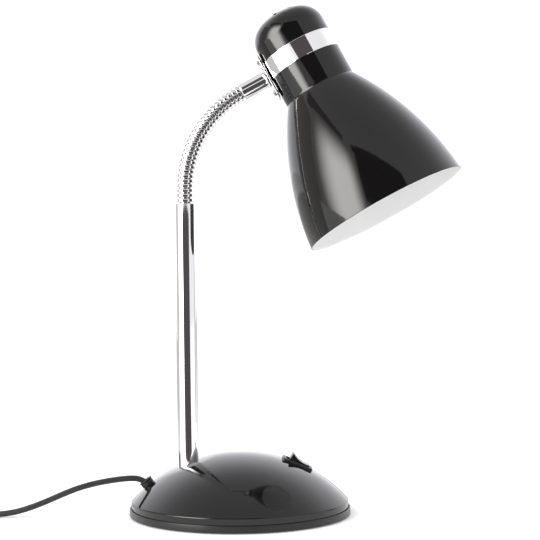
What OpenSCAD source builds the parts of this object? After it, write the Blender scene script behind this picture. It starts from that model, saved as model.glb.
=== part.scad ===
// Desk lamp: round weighted base with a domed cover, upright tube, flexible neck of
// jointed links and a flared metal shade. Millimetres. The lamp stands on z = 0 with
// the base centred on the origin; the neck bends towards +X.

/* [Base] */
// Radius of the base tray
base_r = 75; // [60:0.5:100]
// Height of the tray's rim
base_h = 6.5; // [5:0.25:12]
// Thickness of the tray's floor
tray_floor = 3.4; // [3:0.1:4.5]
// Width of the tray's lip around the cover
tray_lip = 0.8; // [0.6:0.1:2.5]
// Distance of the soft pad's edge from the tray's rim
pad_edge = 9; // [6:0.5:14]
// Thickness of the pad
pad_t = 1.2; // [0.8:0.1:2]
// How far the pad stands out below the tray
pad_proud = 0.6; // [0.3:0.1:1]
// Gap between the ballast plate and the cover's wall
ballast_gap = 7.5; // [3:0.5:12]
// Thickness of the ballast plate
ballast_t = 7; // [3:0.5:8]

/* [Cover] */
// Height of the cover's top over the tray's underside
cover_top = 41.5; // [36:0.5:60]
// Height of the shoulder's middle over the tray's underside
shoulder_h = 7.34; // [6.5:0.02:12]
// Radius of the cover's shoulder
shoulder_r = 5; // [3:0.5:9]
// Wall of the cover
cover_wall = 2.2; // [1.6:0.1:3]
// Radius of a screw boss in the cover
boss_r = 3.6; // [3:0.1:4.5]
// Distance of the bosses from the cover's side
boss_edge = 16.7; // [15:0.1:20]
// Length of a boss screw's shank
boss_screw_l = 11.8; // [9:0.2:13]
// Number of bosses
boss_count = 3; // [3:1:5]

/* [Pole] */
// Distance of the pole from the middle of the base
pole_x = 34.9; // [28:0.1:38]
// Outer diameter of the pole
pole_d = 14.16; // [12.5:0.1:18]
// Wall of the pole
pole_wall = 1.2; // [0.8:0.1:1.3]
// Height of the pole's top over the tray's underside
pole_top = 211.1; // [150:1:320]
// Wall of the foot socket that holds the pole
socket_wall = 2.4; // [1.6:0.1:3]
// Height of the foot socket
socket_h = 13; // [8:0.5:14]
// Radius of the foot socket's flange
flange_r = 16.5; // [15.5:0.5:20]
// Thickness of the flange
flange_t = 3; // [2:0.5:4]

/* [Neck] */
// Outer diameter of the ribs
neck_d = 11.1; // [10.5:0.1:11.4]
// Diameter of the rib wire
rib_wire = 2.1; // [1.6:0.05:2.2]
// Radius of the neck's bend at rest
bend_r = 72.5; // [68:0.5:110]
// How far the neck turns from upright
bend_turn = 62.1; // [40:0.1:70]
// Straight rise out of the pole
neck_rise = 10.3; // [10:0.1:14]
// Radius of the ball at each link's end
ball_r = 4.15; // [4:0.05:4.2]
// Radius of the wire way through the neck
way_r = 3.1; // [2.5:0.1:3.2]

/* [Shade] */
// Outer radius of the shade's opening
shade_r = 56.4; // [45:0.5:80]
// Height of the flare from the opening to the collar
shade_h = 91.5; // [70:0.5:120]
// Radius of the flare's curve
flare_r = 193; // [150:1:400]
// Outer radius of the collar and the cap
collar_r = 25.03; // [22.5:0.1:30]
// Wall of the shade and the cap
shade_wall = 0.8; // [0.6:0.1:1.2]
// Height of the collar from the flare to the band's middle
collar_h = 27.03; // [24:0.5:32]
// Radius where the flare runs into the collar
crease_r = 3; // [2:0.5:5]
// Roll of the head around the arm
head_roll = 9.2; // [0:0.1:20]
// Distance of the arm's axis below the band's middle
arm_drop = 2; // [0:0.1:4]

/* [Cap] */
// Height of the cap's straight wall over the band's middle
cap_wall_h = 16.3; // [14:0.1:22]
// Radius of the cap's shoulder
cap_shoulder = 14.7; // [8:0.1:16]
// Radius of the cap's crown
cap_crown = 36.9; // [30:0.1:60]
// Number of vent slots
vent_count = 8; // [4:1:10]
// Width of a vent slot
vent_w = 2.2; // [1.5:0.1:3]
// Length of a vent slot
vent_l = 8; // [5:0.5:10]
// Distance of the slots' middles from the axis
vent_at = 12.5; // [11:0.5:14]
// Turn of the ring of slots
vent_turn = 33; // [0:1:45]

/* [Band and bracket] */
// Height of the band
band_h = 12.6; // [8:0.2:16]
// Wall of the band
band_t = 0.36; // [0.3:0.02:0.8]
// Reach of the arm sleeve from the head's axis
sleeve_reach = 47.4; // [40:0.2:60]
// Outer diameter of the sleeve
sleeve_d = 11.8; // [11.2:0.1:13]
// Diameter of the sleeve's foot on the plate
sleeve_foot_d = 14; // [13:0.2:15]
// Length of the bracket plate
plate_l = 33; // [31:0.5:38]
// Width of the bracket plate
plate_w = 14; // [12:0.5:16]
// Thickness of the bracket plate
plate_t = 1.3; // [1:0.1:2]
// Distance between the two screws
screw_gap = 23.5; // [22:0.5:25]
// Diameter of a screw's head
screw_head_d = 4; // [3.6:0.1:5]
// Height of a screw's head
screw_head_h = 1.7; // [1:0.1:2]
// Diameter of a screw's shank
screw_d = 2.5; // [2:0.1:2.8]

/* [Lamp holder] */
// Outer radius of the lamp holder
holder_r = 19; // [17.5:0.1:19.5]
// Length of the lamp holder's skirt
skirt_l = 34; // [30:0.5:38]
// Length of the lamp holder's shoulder
shoulder_l = 8; // [5:0.5:9]
// Radius of the lamp socket's bore
thread_r = 13.3; // [13:0.05:13.6]
// Depth of the lamp socket's bore
thread_l = 26; // [22:0.5:27]
// Wall of the metal threaded sleeve
thread_wall = 0.4; // [0.3:0.05:0.6]
// Radius of the hollow nipple that carries the holder
nipple_r = 5; // [4.5:0.1:5.5]
// Height of the holder bracket's arm over the arm's axis
strap_z = 17.5; // [16:0.5:18.5]
// Thickness of the holder bracket
strap_t = 1.2; // [1:0.1:1.6]
// Width of the holder bracket
strap_w = 12; // [11:0.5:14]

/* [Switch] */
// Distance of the switch from the middle of the base
switch_x = 39.1; // [38:0.1:46]
// Length of the switch's bezel
bezel_l = 21.5; // [20:0.1:24]
// Width of the switch's bezel
bezel_w = 15; // [14.2:0.1:17]
// Thickness of the bezel
bezel_t = 2.2; // [2:0.1:2.6]
// Depth of the flat seat in the cover
seat_d = 0.9; // [0.6:0.1:1.1]
// Length of the rocker from its pivot
rocker_half = 7; // [6:0.1:7]
// Height of the rocker's ends over the pivot
rocker_rise = 5.07; // [4.5:0.1:5.4]
// Height of the middle of the rocker's dished top over its ends
dish_up = 16; // [13:0.5:24]
// Width of the rocker
rocker_w = 11; // [9:0.1:11.2]
// Depth of the pivot below the bezel's top
pivot_deep = 2; // [1.8:0.1:2.4]
// Diameter of the rocker's pivot pins
pivot_d = 2.4; // [2:0.1:2.6]
// Tilt of the rocker to each side
rocker_tilt = 16; // [8:1:16]
// Depth of the switch's body below the bezel
switch_deep = 12; // [10:0.5:14]

/* [Cord] */
// Diameter of the cord
cord_d = 4; // [3.2:0.1:4]
// Angle of the cord bush from the crown's top
bush_turn = 38; // [34:1:42]
// Diameter of the bush's outer disc
bush_d = 9.6; // [9:0.1:12]
// How far the bush stands out of the cover
bush_out = 4.2; // [3.5:0.1:6]
// Radius of the bush's mouth
bush_mouth = 3.6; // [3.5:0.05:4]

/* [Plug] */
// Thickness of the plug
plug_t = 13.7; // [13:0.1:14]
// Width of the plug's face
plug_w = 26; // [25:0.5:36]
// Length of the plug's body
plug_l = 35; // [30:0.5:42]
// Length of the plug's bend relief
relief_l = 22; // [18:1:30]
// Diameter of a pin
pin_d = 4; // [3.9:0.1:4.1]
// Length of a pin
pin_l = 19; // [18:0.5:20]
// Distance between the pins
pin_gap = 18.6; // [17:0.1:19]

/* [Fits] */
// Gap between the cover and the tray's lip
cover_gap = 0.5; // [0.2:0.1:1]
// Gap between the pole and its hole in the cover
pole_gap = 0.15; // [0.1:0.05:0.4]
// Play of the pole in its foot socket
socket_fit = 0.05; // [0.02:0.01:0.1]
// Play of the ball in the next link's cup
ball_fit = 0.08; // [0.04:0.01:0.1]
// Play of the neck's ends in the pole and the sleeve
neck_fit = 0.08; // [0.04:0.01:0.12]
// Gap between the plate and the band
plate_gap = 0.25; // [0.1:0.05:0.5]
// Play of the band around the collar and the cap
band_fit = 0.03; // [0.02:0.01:0.1]
// Play of a screw in its hole
screw_fit = 0.1; // [0.05:0.05:0.2]
// Play of the pad in its recess
pad_fit = 0.3; // [0.2:0.1:0.5]
// Play of the switch's body in the cover
switch_fit = 0.15; // [0.1:0.05:0.2]
// Play of the rocker's pins in their bores
pivot_fit = 0.05; // [0.02:0.01:0.08]

/* [Hidden] */
$fn = 96;

// Levels of the base
tray_z = pad_proud;
floor_z = tray_z + tray_floor;
rim_z = tray_z + base_h;
ballast_z = floor_z + ballast_t;
recess_z = tray_z + pad_t - pad_proud;
cover_r = base_r - tray_lip - cover_gap;
shoulder_x = cover_r - shoulder_r;
shoulder_z = tray_z + shoulder_h;
crown_drop = cover_top - shoulder_h;
crown_r = (pow(shoulder_x, 2) + pow(crown_drop, 2) - pow(shoulder_r, 2))
    / (2 * (crown_drop - shoulder_r));
crown_z = tray_z + cover_top - crown_r;
pad_r = base_r - pad_edge;
ballast_r = cover_r - cover_wall - ballast_gap;
boss_at = cover_r - boss_edge;
cut_l = 4 * base_h + cover_top;
head_t = 1.6;
boss_hole_r = 1.25;
boss_screw_r = 1.2;
boss_head_r = 3.1;

// Pole and neck: three ribs on each of eight links past the first one
link_ribs = 3;
link_count = 8;
pole_r = pole_d / 2;
bore_r = pole_r - pole_wall;
top_z = tray_z + pole_top;
mouth_t = 1.5;
rib_r = (neck_d - rib_wire) / 2;
step_a = bend_turn / link_count;
chord = 2 * bend_r * sin(step_a / 2);
pitch = bend_r * bend_turn * PI / 180 / (link_count * link_ribs);
core_r = ball_r - 0.05;
cup_r = ball_r + ball_fit;
bend_z = top_z + neck_rise;
spigot_r = bore_r - neck_fit;
arm_a = 90 - bend_turn;
function station(k) = [-pole_x + bend_r * (1 - cos(k * step_a)), 0,
    bend_z + bend_r * sin(k * step_a)];
arm_end = station(link_count);

// Head frame: +X runs to the arm, +Z from the opening to the cap
head_o = arm_end + sleeve_reach * [cos(arm_a), 0, sin(arm_a)];
open_z = arm_drop - collar_h - shade_h;
flare_z = open_z + shade_h;
collar_in = collar_r - shade_wall;
band_in = collar_r + band_fit;
plate_in = band_in + band_t + plate_gap;
plate_out = plate_in + plate_t;
sleeve_bore = (sleeve_d - 2.8) / 2;
module at_head() translate(head_o) rotate([180 + head_roll, 180 - arm_a, 0]) children();

// Flare curve: a circle through the opening's edge and the collar's lower edge
flare_m = [(shade_r + collar_r) / 2, shade_h / 2];
flare_d = [collar_r - shade_r, shade_h];
flare_c = flare_m + [-flare_d[1], flare_d[0]] / norm(flare_d)
    * sqrt(pow(flare_r, 2) - pow(norm(flare_d) / 2, 2));
crease_in = crease_r - 0.04;
crease_c = [collar_r + crease_in,
    flare_c[1] + sqrt(pow(flare_r + crease_in, 2) - pow(collar_r + crease_in - flare_c[0], 2))];
crease_t = flare_c + (crease_c - flare_c) * flare_r / (flare_r + crease_in);

// Lamp holder
strap_x = collar_in - 1.6;
holder_top = strap_z - strap_t / 2 - 1;
holder_low = holder_top - shoulder_l - skirt_l;
contact_t = 1.2;
socket_floor = holder_low + thread_l + 0.5 + contact_t;

// Switch: its frame lies on the cover's crown
switch_a = asin(switch_x / crown_r);
bezel_corner = 1.5;
body_l = bezel_l - 2.5;
body_w = bezel_w - 2;
slot_l = body_l - 2.2;
slot_w = rocker_w + 0.4;
module at_switch() translate([0, 0, crown_z]) rotate([0, switch_a, 0])
    translate([0, 0, crown_r - seat_d + bezel_t]) children();

// Cord bush: its frame lies on the cover's crown, +Z out along the cord
lead_in = 2.5;
lead_l = 6.2;
clip_gap = 1;
bush_in = cover_wall + 2.9;
bush_neck_r = 3.7;
module at_bush() translate([0, 0, crown_z]) rotate([0, -bush_turn, 0]) children();
bush_dir = [-sin(bush_turn), 0, cos(bush_turn)];
cord_start = [0, 0, crown_z] + (crown_r - lead_in) * bush_dir;

// Route of the cord, as it lies: out of the bush, down to the table, to the coil
cord_route = [
    [-63, 0, 21.7], [-66, 0, 23.7], [-69.5, 0, 25], [-73.5, 0, 25.3], [-79, 0, 25],
    [-86, 0, 24.2], [-93, -0.2, 23.1], [-100, -0.4, 21.7], [-107, -0.8, 19.9],
    [-114, -1.2, 17.6], [-121, -1.8, 14.9], [-128, -2.3, 12], [-135, -2.8, 9.2],
    [-142, -3.2, 6.7], [-149, -3.4, 4.6], [-156, -3.3, 3.1], [-163, -3, 2.3],
    [-170, -2.5, 2], [-178, -1.7, 2], [-186, -0.8, 2], [-193, -0.2, 2],
    [-200, 0, 2], [-208, 0, 2]];
tail_route = [
    [-216, 0, 15.5], [-220, 0, 15.5], [-226.5, 1.3, 15.4], [-233, 4.2, 14.6],
    [-239.3, 8.9, 13.1], [-244.5, 15, 11.2], [-248, 22, 9.3], [-249.6, 29.4, 7.7],
    [-250, 37, 6.85], [-250, 44, 6.85]];
coil_c = [-212, 29];
coil_out = 29;
coil_step = 4.5;
coil_rise = 4.5;
coil_layers = 4;
layer_loops = 2.5;
loop_rings = 24;
plug_at = [-250, 44, 6.85];

// Radius and height of the coil's centreline after a turn of a degrees
layer_a = layer_loops * 360;
function saw(u) = abs(u - 2 * floor((u + 1) / 2));
function coil_r(a) = coil_out - coil_step * layer_loops * saw(a / layer_a);
function climb(a, k) = max(0, min(1, (a - k * layer_a + 90) / 180));
function coil_z(a) = cord_d / 2 + coil_rise * (climb(a, 1) + climb(a, 2) + climb(a, 3));
function coil_p(a) = [coil_c[0] - coil_r(a) * sin(a), coil_c[1] - coil_r(a) * cos(a), coil_z(a)];
coil_n = coil_layers * layer_loops * loop_rings;
coil_pts = [
    [coil_c[0] + cord_d, 0, coil_z(0)],
    for (i = [0:coil_n]) coil_p(i * 360 / loop_rings),
    [coil_c[0] - cord_d, 0, coil_z(coil_layers * layer_a)]];
coil_gap = min([for (i = [0:len(coil_pts) - 1], j = [i + 12:1:len(coil_pts) - 1])
    norm(coil_pts[i] - coil_pts[j])]) - cord_d;
echo(coil_least_gap = coil_gap);  // cord_coil

// Sweep of a round tube along points; the first and last directions are given
function unit(v) = v / norm(v);
function along(p, i, a, b) = i == 0 ? a : i == len(p) - 1 ? b : unit(p[i + 1] - p[i - 1]);
function ring(c, t, r, n) = let (s = unit(cross(t, [0, 0, 1])), u = cross(s, t))
    [for (k = [0:n - 1]) c + r * (cos(k * 360 / n - 90) * s + sin(k * 360 / n - 90) * u)];
module tube(p, a, b, r, n) {
    m = len(p);
    pts = [for (i = [0:m - 1]) each ring(p[i], along(p, i, a, b), r, n)];
    polyhedron(pts, [
        for (i = [0:m - 2], k = [0:n - 1]) let (q = (k + 1) % n)
            each [[i * n + k, (i + 1) * n + k, (i + 1) * n + q],
                [i * n + k, (i + 1) * n + q, i * n + q]],
        [for (k = [0:n - 1]) k],
        [for (k = [n - 1:-1:0]) (m - 1) * n + k]]);
}

// Round-cornered rectangle with true arcs
module slab(l, w, r) {
    square([l - 2 * r, w], center = true);
    square([l, w - 2 * r], center = true);
    for (x = [-1, 1], y = [-1, 1]) translate([x * (l / 2 - r), y * (w / 2 - r)]) circle(r);
}

// Soft pad under the base
module base_pad() color("dimgray") cylinder(r = pad_r, h = pad_t);

// Tray that carries the ballast, with a lip around the cover
module base_tray() color([0.12, 0.12, 0.13]) difference() {
    rotate_extrude() polygon([
        [0, recess_z], [pad_r + pad_fit, recess_z], [pad_r + pad_fit, tray_z],
        [base_r - 0.6, tray_z], [base_r, tray_z + 0.6], [base_r, rim_z - 0.45],
        [base_r - 0.15, rim_z - 0.12], [base_r - 0.35, rim_z],
        [base_r - tray_lip + 0.1, rim_z], [base_r - tray_lip, rim_z - 0.1],
        [base_r - tray_lip, floor_z], [0, floor_z]]);
    for (k = [0:boss_count - 1]) rotate(k * 360 / boss_count + 30) translate([boss_at, 0, 0]) {
        cylinder(r = boss_head_r + screw_fit, h = recess_z + head_t + screw_fit);
        cylinder(r = boss_screw_r + 0.4, h = floor_z + 1);
    }
}

// Steel plate that keeps the lamp standing
module ballast() color("slategray") difference() {
    translate([0, 0, floor_z]) cylinder(r = ballast_r, h = ballast_t);
    for (k = [0:boss_count - 1]) rotate(k * 360 / boss_count + 30)
        translate([boss_at, 0, floor_z - 1]) cylinder(r = boss_r + 0.5, h = ballast_t + 2);
    for (k = [0:2]) translate([-pole_x, 0, floor_z - 1]) rotate(k * 120 + 60)
        translate([socket_pcd, 0, 0]) cylinder(r = screw_d / 2 + screw_fit, h = ballast_t + 2);
    at_bush() translate([0, 0, crown_r - lead_in - lead_l - clip_gap])
        cylinder(r = cord_d + 2 * clip_gap, h = cut_l);
}

// Screws up through the tray into the cover's bosses
module cover_screws() color("silver")
    for (k = [0:boss_count - 1]) rotate(k * 360 / boss_count + 30) translate([boss_at, 0, 0]) {
        translate([0, 0, recess_z + 0.1]) cylinder(r = boss_head_r, h = head_t);
        translate([0, 0, recess_z + 0.1 + head_t / 2])
            cylinder(r = boss_screw_r, h = boss_screw_l - head_t / 2);
    }

// Half outline of the cover, drawn in by d
module cover_outline(d) {
    intersection() {
        translate([0, crown_z]) circle(crown_r - d, $fn = 360);
        polygon([[0, crown_z], [0, crown_z + crown_r + 1],
            [shoulder_x, shoulder_z] * 2 - [0, crown_z] + [0, crown_r],
            [shoulder_x, shoulder_z] * 2 - [0, crown_z]]);
        translate([0, floor_z]) square([base_r, crown_r]);
    }
    polygon([[0, floor_z], [shoulder_x, floor_z], [shoulder_x, shoulder_z], [0, shoulder_z]]);
    intersection() {
        translate([shoulder_x, shoulder_z]) circle(shoulder_r - d);
        translate([shoulder_x - 1, shoulder_z]) square(shoulder_r + 1);
    }
    translate([shoulder_x - 1, floor_z]) square([shoulder_r - d + 1, shoulder_z - floor_z]);
}

// Domed cover with its hole for the pole, switch cut-out, bush hole and screw bosses
module base_cover() color([0.2, 0.2, 0.24]) difference() {
    union() {
        rotate_extrude() difference() {
            cover_outline(0);
            difference() {
                cover_outline(cover_wall);
                translate([-1, floor_z - 1]) square([base_r, 1]);
            }
        }
        for (k = [0:boss_count - 1]) intersection() {
            rotate(k * 360 / boss_count + 30) translate([boss_at, 0, floor_z])
                cylinder(r = boss_r, h = cut_l);
            translate([0, 0, crown_z]) sphere(crown_r - cover_wall / 2, $fn = 360);
        }
    }
    for (k = [0:boss_count - 1]) rotate(k * 360 / boss_count + 30)
        translate([boss_at, 0, floor_z - 1]) cylinder(r = boss_hole_r, h = boss_screw_l - 0.3);
    translate([-pole_x, 0, shoulder_z]) cylinder(r = pole_r + pole_gap, h = cut_l);
    at_switch() {
        translate([0, 0, -bezel_t]) linear_extrude(bezel_w)
            slab(bezel_l + 2 * switch_fit, bezel_w + 2 * switch_fit, bezel_corner + switch_fit);
        translate([0, 0, -bezel_t - 2 * cover_wall]) linear_extrude(bezel_w)
            square([body_l + 2 * switch_fit, body_w + 2 * switch_fit], center = true);
    }
    at_bush() translate([0, 0, crown_r - 2 * cover_wall])
        cylinder(r = bush_neck_r + 0.1, h = 4 * cover_wall);
}

// Flanged socket that stands on the ballast and holds the pole
socket_r = pole_r + socket_fit + socket_wall;
socket_pcd = (socket_r + flange_r) / 2;
module pole_socket() color("gray") translate([-pole_x, 0, ballast_z]) difference() {
    rotate_extrude() polygon([
        [pole_r + socket_fit, 0], [flange_r, 0], [flange_r, flange_t - 0.5],
        [flange_r - 0.5, flange_t], [socket_r + 1, flange_t], [socket_r, flange_t + 1],
        [socket_r, socket_h - 0.6], [socket_r - 0.6, socket_h],
        [pole_r + socket_fit, socket_h]]);
    for (k = [0:2]) rotate(k * 120 + 60) translate([socket_pcd, 0, -1])
        cylinder(r = screw_d / 2 + screw_fit, h = flange_t + 2);
}

// Screws of the foot socket
module socket_screws() color("silver") for (k = [0:2])
    translate([-pole_x, 0, ballast_z]) rotate(k * 120 + 60) translate([socket_pcd, 0, 0]) {
        translate([0, 0, flange_t]) cylinder(r = screw_d / 2 + 1.1, h = 1.5);
        translate([0, 0, -ballast_t + 1]) cylinder(r = screw_d / 2, h = flange_t + ballast_t);
    }

// Upright tube with a turned-in mouth around the neck
module pole() color("gainsboro") translate([-pole_x, 0, 0]) rotate_extrude() polygon([
    [bore_r, ballast_z], [pole_r, ballast_z], [pole_r, top_z - 0.6],
    [pole_r - 0.18, top_z - 0.18], [pole_r - 0.6, top_z],
    [neck_d / 2 + 0.1, top_z], [neck_d / 2 + 0.1, top_z - mouth_t], [bore_r, top_z - mouth_t]]);

// One rib of the neck
module rib() rotate_extrude() translate([rib_r, 0]) circle(rib_wire / 2, $fn = 48);

// First rib of a link, hollowed for the ball below it; the origin is that ball's middle
module cup_rib() rotate_extrude() difference() {
    translate([rib_r, pitch / 2]) circle(rib_wire / 2, $fn = 48);
    circle(cup_r + 0.12);
}

// Half outline of a link's core: cup at z = 0 below, ball at z = chord above
module core_outline(ball) difference() {
    union() {
        translate([way_r, 0]) square([core_r - way_r, ball ? chord - 0.5 : chord]);
        if (ball) intersection() {
            translate([0, chord]) circle(ball_r);
            translate([way_r, chord - 1]) square([ball_r, ball_r + 2]);
        }
    }
    circle(cup_r);
}

// A jointed link, with its cup at station k - 1 and its ribs fanned along the bend
module link(k) color(k % 2 == 0 ? "silver" : "lightsteelblue") {
    a = (k - 1) * step_a;
    s = step_a / link_ribs;
    last = k == link_count;
    translate(station(k - 1)) rotate([0, a + s / 2, 0]) cup_rib();
    for (i = [1:link_ribs - 2]) translate(station(k - 1))
        rotate([0, a + step_a / 2, 0]) translate([0, 0, chord * (i + 0.5) / link_ribs]) rib();
    translate(station(k)) rotate([0, a + step_a - s / 2, 0]) translate([0, 0, -pitch / 2]) rib();
    difference() {
        union() {
            translate(station(k - 1)) rotate([0, a + step_a / 2, 0])
                rotate_extrude() core_outline(!last);
            if (last) translate(station(k)) rotate([0, bend_turn, 0]) translate([0, 0, -1])
                cylinder(r = sleeve_bore - neck_fit, h = 13);
        }
        if (last) translate(station(k)) rotate([0, bend_turn, 0]) translate([0, 0, -2])
            cylinder(r = way_r, h = 15);
    }
}

// Root link: its spigot sits in the pole and its ball carries the first jointed link
module neck_link_0() color("silver") translate([-pole_x, 0, 0]) {
    for (i = [0:link_ribs]) translate([0, 0, bend_z - pitch * (i + 0.5)]) rib();
    rotate_extrude() {
        translate([way_r, top_z - 3]) square([core_r - way_r, neck_rise + 2.5]);
        translate([way_r, top_z - mouth_t - 14]) square([spigot_r - way_r, 14]);
        intersection() {
            translate([0, bend_z]) circle(ball_r);
            translate([way_r, bend_z - 1]) square([ball_r, ball_r + 2]);
        }
    }
}
module neck_link_1() link(1);
module neck_link_2() link(2);
module neck_link_3() link(3);
module neck_link_4() link(4);
module neck_link_5() link(5);
module neck_link_6() link(6);
module neck_link_7() link(7);
module neck_link_8() link(8);

// Turned sleeve between the neck and the bracket plate
module arm_sleeve() color("whitesmoke") at_head() rotate([0, 90, 0]) rotate_extrude() difference() {
    polygon([[sleeve_bore, plate_out], [sleeve_foot_d / 2, plate_out],
        [sleeve_foot_d / 2, plate_out + 0.8], [sleeve_foot_d / 2, plate_out + 3],
        [sleeve_d / 2, plate_out + 3 + 0.01], [sleeve_d / 2, sleeve_reach - 0.4],
        [sleeve_d / 2 - 0.4, sleeve_reach], [sleeve_bore, sleeve_reach]]);
    translate([sleeve_d / 2 + 2.2, plate_out + 3]) circle(2.2);
}

// Plate that the sleeve stands on, screwed to the collar
module bracket_plate() color("silver") at_head() difference() {
    translate([plate_in, 0, 0]) rotate([0, 90, 0]) linear_extrude(plate_t)
        slab(plate_l, plate_w, 3);
    for (s = [-1, 1]) translate([0, 0, s * screw_gap / 2]) rotate([0, 90, 0])
        cylinder(r = screw_d / 2 + screw_fit, h = sleeve_reach);
    rotate([0, 90, 0]) cylinder(r = way_r, h = sleeve_reach);
}

// Pan-head screw through the plate and the collar into the holder bracket
module bracket_screw(s) color("gainsboro") at_head() translate([0, 0, s * screw_gap / 2])
    rotate([0, 90, 0]) {
        translate([0, 0, strap_x - strap_t]) cylinder(r = screw_d / 2,
            h = plate_out - strap_x + strap_t + 0.2);
        rotate_extrude() intersection() {
            translate([0, plate_out]) square([screw_head_d / 2, screw_head_h]);
            translate([0, plate_out + screw_head_h - 3]) circle(3);
        }
    }
module bracket_screw_low() bracket_screw(-1);
module bracket_screw_high() bracket_screw(1);

// Bright band over the seam of shade and cap
module head_band() color("whitesmoke") at_head() rotate_extrude() polygon([
    [band_in, arm_drop - band_h / 2], [band_in + band_t - 0.1, arm_drop - band_h / 2],
    [band_in + band_t, arm_drop - band_h / 2 + 0.15],
    [band_in + band_t, arm_drop + band_h / 2 - 0.15],
    [band_in + band_t - 0.1, arm_drop + band_h / 2], [band_in, arm_drop + band_h / 2]]);

// Half outline of the shade, drawn in by d, from the opening's plane at y = 0
module shade_outline(d) {
    intersection() {
        translate(flare_c) circle(flare_r - d, $fn = 720);
        square([shade_r + 1, crease_t[1]]);
    }
    difference() {
        polygon([[0, crease_t[1] - 1.2], crease_t - [0.6, 1.2], crease_t, crease_c,
            crease_c + [0, 0.2], [collar_r - d, crease_c[1] + 0.2],
            [collar_r - d, shade_h + collar_h], [0, shade_h + collar_h]]);
        translate(crease_c) circle(crease_r + d);
    }
}

// Spun shade with its collar
module shade() color([0.25, 0.22, 0.22]) at_head() difference() {
    translate([0, 0, open_z]) rotate_extrude() difference() {
        shade_outline(0);
        translate([0, -0.001]) shade_outline(shade_wall);
        translate([0, shade_h + collar_h - 0.01]) square([collar_r - shade_wall, 1]);
    }
    translate([0, 0, -screw_gap / 2]) rotate([0, 90, 0])
        cylinder(r = screw_d / 2 + screw_fit, h = sleeve_reach);
    rotate([0, 90, 0]) cylinder(r = way_r, h = sleeve_reach);
}

// Half outline of the cap, drawn in by d, from the band's middle at y = 0
cap_x = collar_r - cap_shoulder;
cap_c = cap_wall_h - sqrt(pow(cap_crown - cap_shoulder, 2) - pow(cap_x, 2));
module cap_outline(d) {
    square([collar_r - d, cap_wall_h]);
    intersection() {
        translate([cap_x, cap_wall_h]) circle(cap_shoulder - d);
        translate([cap_x - 1, cap_wall_h - 0.5]) square(cap_shoulder + 1);
    }
    intersection() {
        translate([0, cap_c]) circle(cap_crown - d, $fn = 180);
        polygon([[0, cap_c], [0, 2 * cap_crown],
            [cap_x, cap_wall_h] * 3 - [0, cap_c] * 2 + [0, cap_crown],
            [cap_x, cap_wall_h] * 3 - [0, cap_c] * 2]);
        square([collar_r, 2 * cap_crown]);
    }
}

// Spun cap with its ring of vent slots
module shade_cap() color([0.22, 0.2, 0.22]) at_head() difference() {
    translate([0, 0, arm_drop]) rotate_extrude() difference() {
        cap_outline(0);
        translate([0, -0.001]) cap_outline(shade_wall);
    }
    for (k = [0:vent_count - 1]) rotate(vent_turn + k * 360 / vent_count)
        translate([vent_at, 0, arm_drop + cap_wall_h]) linear_extrude(cap_crown)
        slab(vent_l, vent_w, vent_w / 2 - 0.01);
    translate([0, 0, screw_gap / 2]) rotate([0, 90, 0])
        cylinder(r = screw_d / 2 + screw_fit, h = sleeve_reach);
}

// Bracket inside the collar that the two screws pull on; its arm carries the holder
module holder_bracket() color("silver") at_head() difference() {
    union() {
        translate([strap_x - strap_t, -strap_w / 2, -plate_l / 2])
            cube([strap_t, strap_w, plate_l / 2 + strap_z + strap_t / 2]);
        translate([-8, -strap_w / 2, strap_z - strap_t / 2])
            cube([strap_x + 8 - strap_t / 2, strap_w, strap_t]);
    }
    for (s = [-1, 1]) translate([strap_x - 6, 0, s * screw_gap / 2]) rotate([0, 90, 0])
        cylinder(r = screw_d / 2, h = 12);
    translate([strap_x - 6, 0, 0]) rotate([0, 90, 0]) cylinder(r = way_r, h = 12);
    translate([0, 0, strap_z - 5]) cylinder(r = nipple_r + 0.05, h = 10);
}

// Hollow nipple with its nut, through the bracket's arm into the holder
module holder_nipple() color("gold") at_head() rotate_extrude() polygon([
    [nipple_r - 1.4, holder_top - 5], [nipple_r, holder_top - 5],
    [nipple_r, strap_z + strap_t / 2], [nipple_r + 2.4, strap_z + strap_t / 2],
    [nipple_r + 2.4, strap_z + strap_t / 2 + 2.6], [nipple_r, strap_z + strap_t / 2 + 2.6],
    [nipple_r, strap_z + strap_t / 2 + 4], [nipple_r - 1.4, strap_z + strap_t / 2 + 4]]);

// Moulded lamp holder
module lamp_holder() color("beige") at_head() rotate_extrude() polygon([
    [thread_r + thread_wall, holder_low], [holder_r - 1, holder_low],
    [holder_r, holder_low + 1], [holder_r, holder_top - shoulder_l],
    [nipple_r + 5, holder_top - 0.5], [nipple_r + 4.5, strap_z - strap_t / 2],
    [nipple_r + 0.05, strap_z - strap_t / 2], [nipple_r + 0.05, holder_top - 5],
    [0, holder_top - 5], [0, socket_floor], [thread_r + thread_wall, socket_floor]]);

// Threaded metal sleeve in the lamp holder
module holder_thread() color("silver") at_head() rotate_extrude()
    translate([thread_r, holder_low + 1.5]) square([thread_wall, thread_l - 1.5]);

// Middle contact of the lamp holder
module holder_contact() color("gold") at_head()
    translate([0, 0, socket_floor - contact_t]) cylinder(r = 4, h = contact_t);

// Bezel and body of the switch, with bores for the rocker's pins
module switch_housing() color([0.1, 0.1, 0.1]) at_switch() difference() {
    union() {
        translate([0, 0, -bezel_t]) linear_extrude(bezel_t) slab(bezel_l, bezel_w, bezel_corner);
        translate([-body_l / 2, -body_w / 2, -bezel_t - switch_deep])
            cube([body_l, body_w, switch_deep + 1]);
    }
    translate([-slot_l / 2, -slot_w / 2, -bezel_t - switch_deep + 2.5])
        cube([slot_l, slot_w, switch_deep + 4]);
    translate([0, 0, -pivot_deep]) rotate([90, 0, 0])
        cylinder(r = pivot_d / 2 + pivot_fit, h = slot_w + 1.6, center = true);
}

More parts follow.
